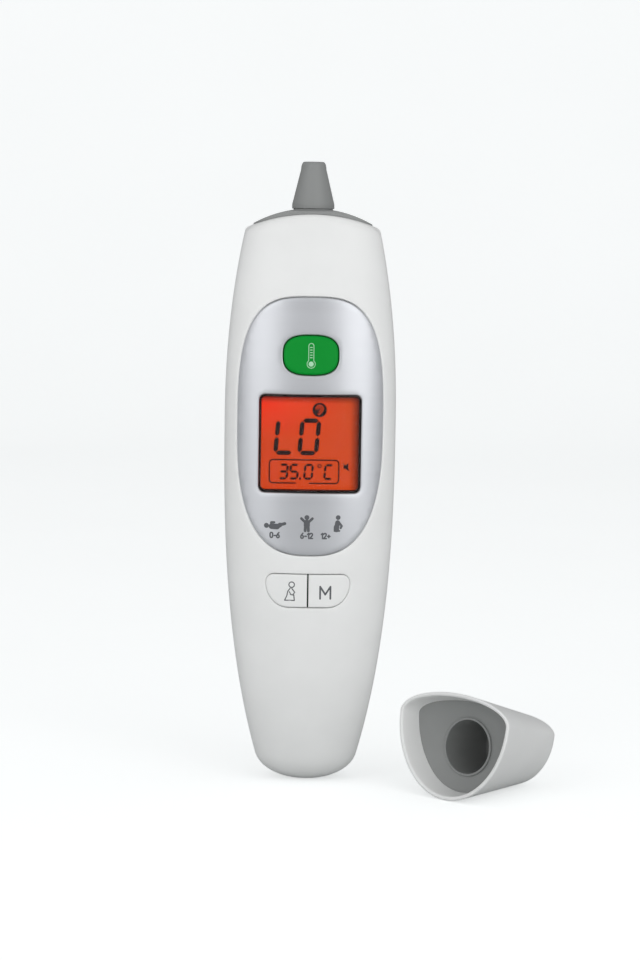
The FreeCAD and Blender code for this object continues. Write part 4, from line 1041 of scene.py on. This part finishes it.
def capLiner():
    rings = []
    edge = capRing(cap["linerEdge"], cap["wall"] + 0.05)
    angle = np.arctan2(edge[:, 1], edge[:, 0])
    far = np.hypot(edge[:, 0], edge[:, 1])
    socket = cap["socket"]

    def ringAt(radius, z):
        return np.stack([radius * np.cos(angle), radius * np.sin(angle),
                         np.broadcast_to(z, radius.shape)], 1)

    lip = np.full(len(far), socket + 0.6)
    slope = (cap["linerEye"] - cap["linerEdge"]) / (cap["linerReach"] - socket - 0.6)

    def dish(radius):
        return cap["linerEdge"] + (cap["linerReach"] - radius) * slope

    for share in np.linspace(0, 1, 14):  # funnel
        radius = far + (lip - far) * share
        rings.append(ringAt(radius, dish(radius)))
    for inward, z in ((0, 7.0), (0.1, 6.88), (0.3, 6.84), (0.5, 6.88), (0.6, 7.0)):
        rings.append(ringAt(lip - inward, z))
    bore = np.full(len(far), socket)
    for z in np.linspace(7.6, cap["socketEnd"] - 1.0, 12):
        rings.append(ringAt(bore, z))
    for k in range(1, 6):  # socket floor
        turn = math.pi / 2 * k / 5
        rings.append(ringAt(bore - 1.0 * (1 - math.cos(turn)), cap["socketEnd"] - 1 + math.sin(turn)))
    for radius in (4.0, 2.4, 1.0):
        rings.append(ringAt(np.full(len(far), radius), cap["socketEnd"]))
    wall = cap["socketWall"]
    for radius in (1.0, 3.0, socket + wall - 0.5):
        rings.append(ringAt(np.full(len(far), radius), cap["socketEnd"] + wall))
    outer = np.full(len(far), socket + wall)
    for z in (cap["socketEnd"] + wall - 0.5, 18.0, 12.0, 9.2):
        rings.append(ringAt(outer, z))
    back = cap["linerBack"]
    below = capRing(cap["linerEdge"] + 1.6, cap["wall"] + 0.05)
    farBelow = np.hypot(below[:, 0], below[:, 1])
    for share in (0.0, 0.5, 1.0):
        radius = outer + (farBelow - outer) * share
        rings.append(ringAt(radius, back + (cap["linerEdge"] + 1.6 - back) * share))
    verts, faces = loftMesh(rings, loop=True)
    return laidDown(verts), faces


makePiece("capShell", [capShell()], "whiteShell", "cap", ["cap_shell"])
makePiece("capLiner", [capLiner()], "greyPlastic", "cap", ["cap_liner"])
print("cap done")


# rear shell and battery door: merged copies of their CAD nodes, with true normals on the form's skin
def skinCopy(name, nodeName, finish, body):
    source = frame["nodes"][nodeName]
    mesh = source.data.copy()
    mesh.name = name
    build = bmesh.new()
    build.from_mesh(mesh)
    bmesh.ops.remove_doubles(build, verts=build.verts, dist=2e-6)
    build.to_mesh(mesh)
    build.free()
    mesh.materials.clear()
    mesh.materials.append(materials[finish])
    points = np.zeros(len(mesh.vertices) * 3)
    mesh.vertices.foreach_get("co", points)
    points = points.reshape(-1, 3) / toMetres

    def field(p):
        wide, front, back = formAt(np.clip(p[:, 2], 0.02, None))
        ahead = p[:, 1] - partingAt(p[:, 2])
        deep = np.where(ahead < 0, front, back)
        return np.sqrt((p[:, 0] / wide) ** 2 + (ahead / deep) ** 2), np.minimum(wide, deep)

    value, size = field(points)
    onSurface = np.abs(value - 1) * size < 0.06
    slope = np.stack([field(points + step)[0] - field(points - step)[0]
                      for step in np.eye(3) * 0.02], 1)
    slope /= np.maximum(np.linalg.norm(slope, axis=1, keepdims=True), 1e-12)
    mesh.shade_smooth()
    mesh.set_sharp_from_angle(angle=math.radians(30))
    custom = np.zeros((len(mesh.loops), 3))
    mesh.corner_normals.foreach_get("vector", custom.reshape(-1))
    flat = custom.reshape(-1, 3).copy()
    for polygon in mesh.polygons:
        corners = list(polygon.loop_indices)
        ids = list(polygon.vertices)
        facing = slope[ids].mean(0)
        if onSurface[ids].all() and facing @ np.array(polygon.normal) > 0.8:
            flat[corners] = slope[ids]
    mesh.normals_split_custom_set([tuple(v) for v in flat])
    finished(name, mesh, body, [nodeName])


skinCopy("rearShell", "rear_shell", "whiteShell", "housing")
skinCopy("batteryDoor", "battery_door", "whiteShell", "cell_door")

# a coned coil at one end of each cell
coils = {"wide": 3.6, "narrow": 2.2, "wire": 0.2, "turns": 2.6, "leftHigh": 1.8, "rightHigh": 1.9,
         "slack": 0.01}
coilTree, sizes, last = startTree("conedCoil", (("Turns", "Float"), ("Foot Radius", "Float"),
                                                ("Head Radius", "Float"), ("Height", "Float"),
                                                ("Wire", "Float"), ("Place", "Vector")))
turns = node(coilTree, "GeometryNodeCurveSpiral", (-400, 100))
turns.inputs["Resolution"].default_value = 40
ringOf = node(coilTree, "GeometryNodeCurvePrimitiveCircle", (-400, -250))
ringOf.inputs["Resolution"].default_value = 12
sweep = node(coilTree, "GeometryNodeCurveToMesh", (0, 0))
sweep.inputs["Fill Caps"].default_value = True
shifted = node(coilTree, "GeometryNodeTransform", (250, 0))
wireUp(coilTree, (sizes.outputs["Turns"], turns.inputs["Rotations"]),
       (sizes.outputs["Foot Radius"], turns.inputs["Start Radius"]),
       (sizes.outputs["Head Radius"], turns.inputs["End Radius"]),
       (sizes.outputs["Height"], turns.inputs["Height"]), (sizes.outputs["Wire"], ringOf.inputs["Radius"]),
       (turns.outputs[0], sweep.inputs["Curve"]), (ringOf.outputs[0], sweep.inputs["Profile Curve"]),
       (sweep.outputs[0], shifted.inputs["Geometry"]),
       (sizes.outputs["Place"], shifted.inputs["Translation"]))
endTree(coilTree, shifted.outputs[0], last, "steel")
coilLow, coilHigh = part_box("battery_springs")
coilParts = []
wire = coils["wire"]
for side, foot, head, floorAt, height in (
        (-1, coils["wide"], coils["narrow"], coilLow.z / toMetres, coils["leftHigh"]),
        (1, coils["narrow"], coils["wide"], coilHigh.z / toMetres - coils["rightHigh"],
         coils["rightHigh"])):
    middle = coilLow.x / toMetres + coils["wide"] if side < 0 else coilHigh.x / toMetres - coils["wide"]
    depth = (coilLow.y + coilHigh.y) / 2 / toMetres
    coilParts.append(treeMesh(coilTree, {
        "Turns": coils["turns"], "Foot Radius": foot - wire, "Head Radius": head - wire,
        "Height": height - 2 * (wire + coils["slack"]), "Wire": wire,
        "Place": (middle, depth, floorAt + wire + coils["slack"])}))
makePiece("coilSprings", coilParts, "steel", "housing", ["battery_springs"])

# the rest keep their CAD shape and get their own finish by slot
slotFinishes = {"black_rubber": "blackRubber", "white_inner": "whiteInner", "light_diode": "lightDiode",
                "green_board": "greenBoard", "steel": "steel", "black_plastic": "blackPlastic",
                "infrared_window": "infraredWindow", "gold_tube": "goldTube",
                "sensor_metal": "sensorMetal", "lead_insulation": "leadInsulation",
                "cell_jacket": "cellJacket", "foam": "foam"}
for subpart in record["subparts"]:
    thing = frame["nodes"][subpart["node"]]
    finish = slotFinishes.get(subpart["material_slot"])
    if finish and not thing.hide_render:
        thing.data.materials.clear()
        thing.data.materials.append(materials[finish])

# stage: a pale sweep of floor and backdrop
stage = {"wide": 3.0, "front": -0.45, "bend": 0.9, "radius": 0.7, "high": 2.4, "glow": 0.59,
         "paper": (206, 208, 208), "speck": (211, 213, 213)}


def floorMaterial():
    # pale to look at, with faint shadows, but a plain mid floor for the light it sends back
    material, tree, shader, place = startMaterial("stagePaper")
    speck = noise(tree, place, (-900, 0), 8, 3.0)
    tree.links.new(blended(tree, speck, (-500, 0), tone(*stage["paper"]), tone(*stage["speck"])),
                   shader.inputs["Base Color"])
    shader.inputs["Roughness"].default_value = 0.9
    shader.inputs["Specular IOR Level"].default_value = 0.1
    shader.inputs["Emission Color"].default_value = tone(251, 253, 253)
    seen = node(tree, "ShaderNodeLightPath", (-900, -300))
    tree.links.new(ranged(tree, seen.outputs["Is Camera Ray"], (-500, -300), 0.0, stage["glow"], 0, 1),
                   shader.inputs["Emission Strength"])
    return material


profile = [(stage["front"], 0.0), (stage["bend"], 0.0)]
profile += [(stage["bend"] + stage["radius"] * math.sin(t), stage["radius"] * (1 - math.cos(t)))
            for t in np.linspace(0, math.pi / 2, 24)[1:]]
profile += [(stage["bend"] + stage["radius"], stage["high"])]
floorLevel = min(float(cadBox[0][2]), 0.0)
sweepMesh = bpy.data.meshes.new("stageSweep")
sweepMesh.from_pydata([(side * stage["wide"], y, z + floorLevel) for y, z in profile for side in (-1, 1)], [],
                      [(2 * k, 2 * k + 1, 2 * k + 3, 2 * k + 2) for k in range(len(profile) - 1)])
sweepMesh.shade_smooth()
sweepMesh.materials.append(floorMaterial())
placed("stageSweep", sweepMesh)

# lights: two tall soft boxes with a darker gap between them, one overhead, one wide fill in front
lights = {
    "leftBox": {"place": (-0.47, -0.62, 0.24), "size": (0.46, 0.8), "power": 1.18},
    "rightBox": {"place": (0.46, -0.64, 0.26), "size": (0.46, 0.8), "power": 1.45},
    "topBox": {"place": (0.0, -0.25, 1.0), "size": (1.0, 0.7), "power": 0.3},
    "frontBox": {"place": (0.0, -1.2, 0.12), "size": (1.0, 0.5), "power": 3.0},
}
for name, look in lights.items():
    lamp = bpy.data.lights.new(name, "AREA")
    lamp.shape = "RECTANGLE"
    lamp.size, lamp.size_y = look["size"]
    lamp.energy = look["power"]
    holder = placed(name, lamp)
    holder.location = look["place"]
    holder.visible_glossy = name != "frontBox"
    aim = Vector((0, 0, 0.08)) - Vector(look["place"])
    holder.rotation_euler = aim.to_track_quat("-Z", "Y").to_euler()
world = bpy.data.worlds.new("studioAir")
bpy.context.scene.world = world
world.use_nodes = True
air = world.node_tree
dimAir = air.nodes["Background"]  # what lights the object
dimAir.inputs["Color"].default_value = (0.99, 0.99, 1.0, 1)
dimAir.inputs["Strength"].default_value = 0.56
paleAir = node(air, "ShaderNodeBackground", (0, -200), Color=tone(251, 253, 253), Strength=1.0)
seen = node(air, "ShaderNodeLightPath", (-200, 300))
choice = node(air, "ShaderNodeMixShader", (250, 0))
air.links.new(seen.outputs["Is Camera Ray"], choice.inputs[0])
air.links.new(dimAir.outputs[0], choice.inputs[1])
air.links.new(paleAir.outputs[0], choice.inputs[2])
air.links.new(choice.outputs[0], air.nodes["World Output"].inputs["Surface"])

# camera: a little above, a slight roll
view = {"distance": 0.650, "elevation": 5.4, "target": (0, 0, 0.07782), "lens": 97.35,
        "shift": (0.011, -0.0103), "roll": 0.83}
lift = math.radians(view["elevation"])
eye = Vector(view["target"]) + view["distance"] * Vector((0, -math.cos(lift), math.sin(lift)))
camera = bpy.data.cameras.new("studioCamera")
camera.sensor_fit = "VERTICAL"
camera.sensor_height = 36
camera.lens = view["lens"]
camera.shift_x, camera.shift_y = view["shift"]
camera.clip_start = 0.05
holder = placed("studioCamera", camera)
facing = (Vector(view["target"]) - eye).to_track_quat("-Z", "Y").to_matrix()
turned = facing @ Matrix.Rotation(math.radians(view["roll"]), 3, "Z")
holder.matrix_world = Matrix.Translation(eye) @ turned.to_4x4()
bpy.context.scene.camera = holder
bpy.context.scene.view_settings.view_transform = "Standard"
print("stage done")
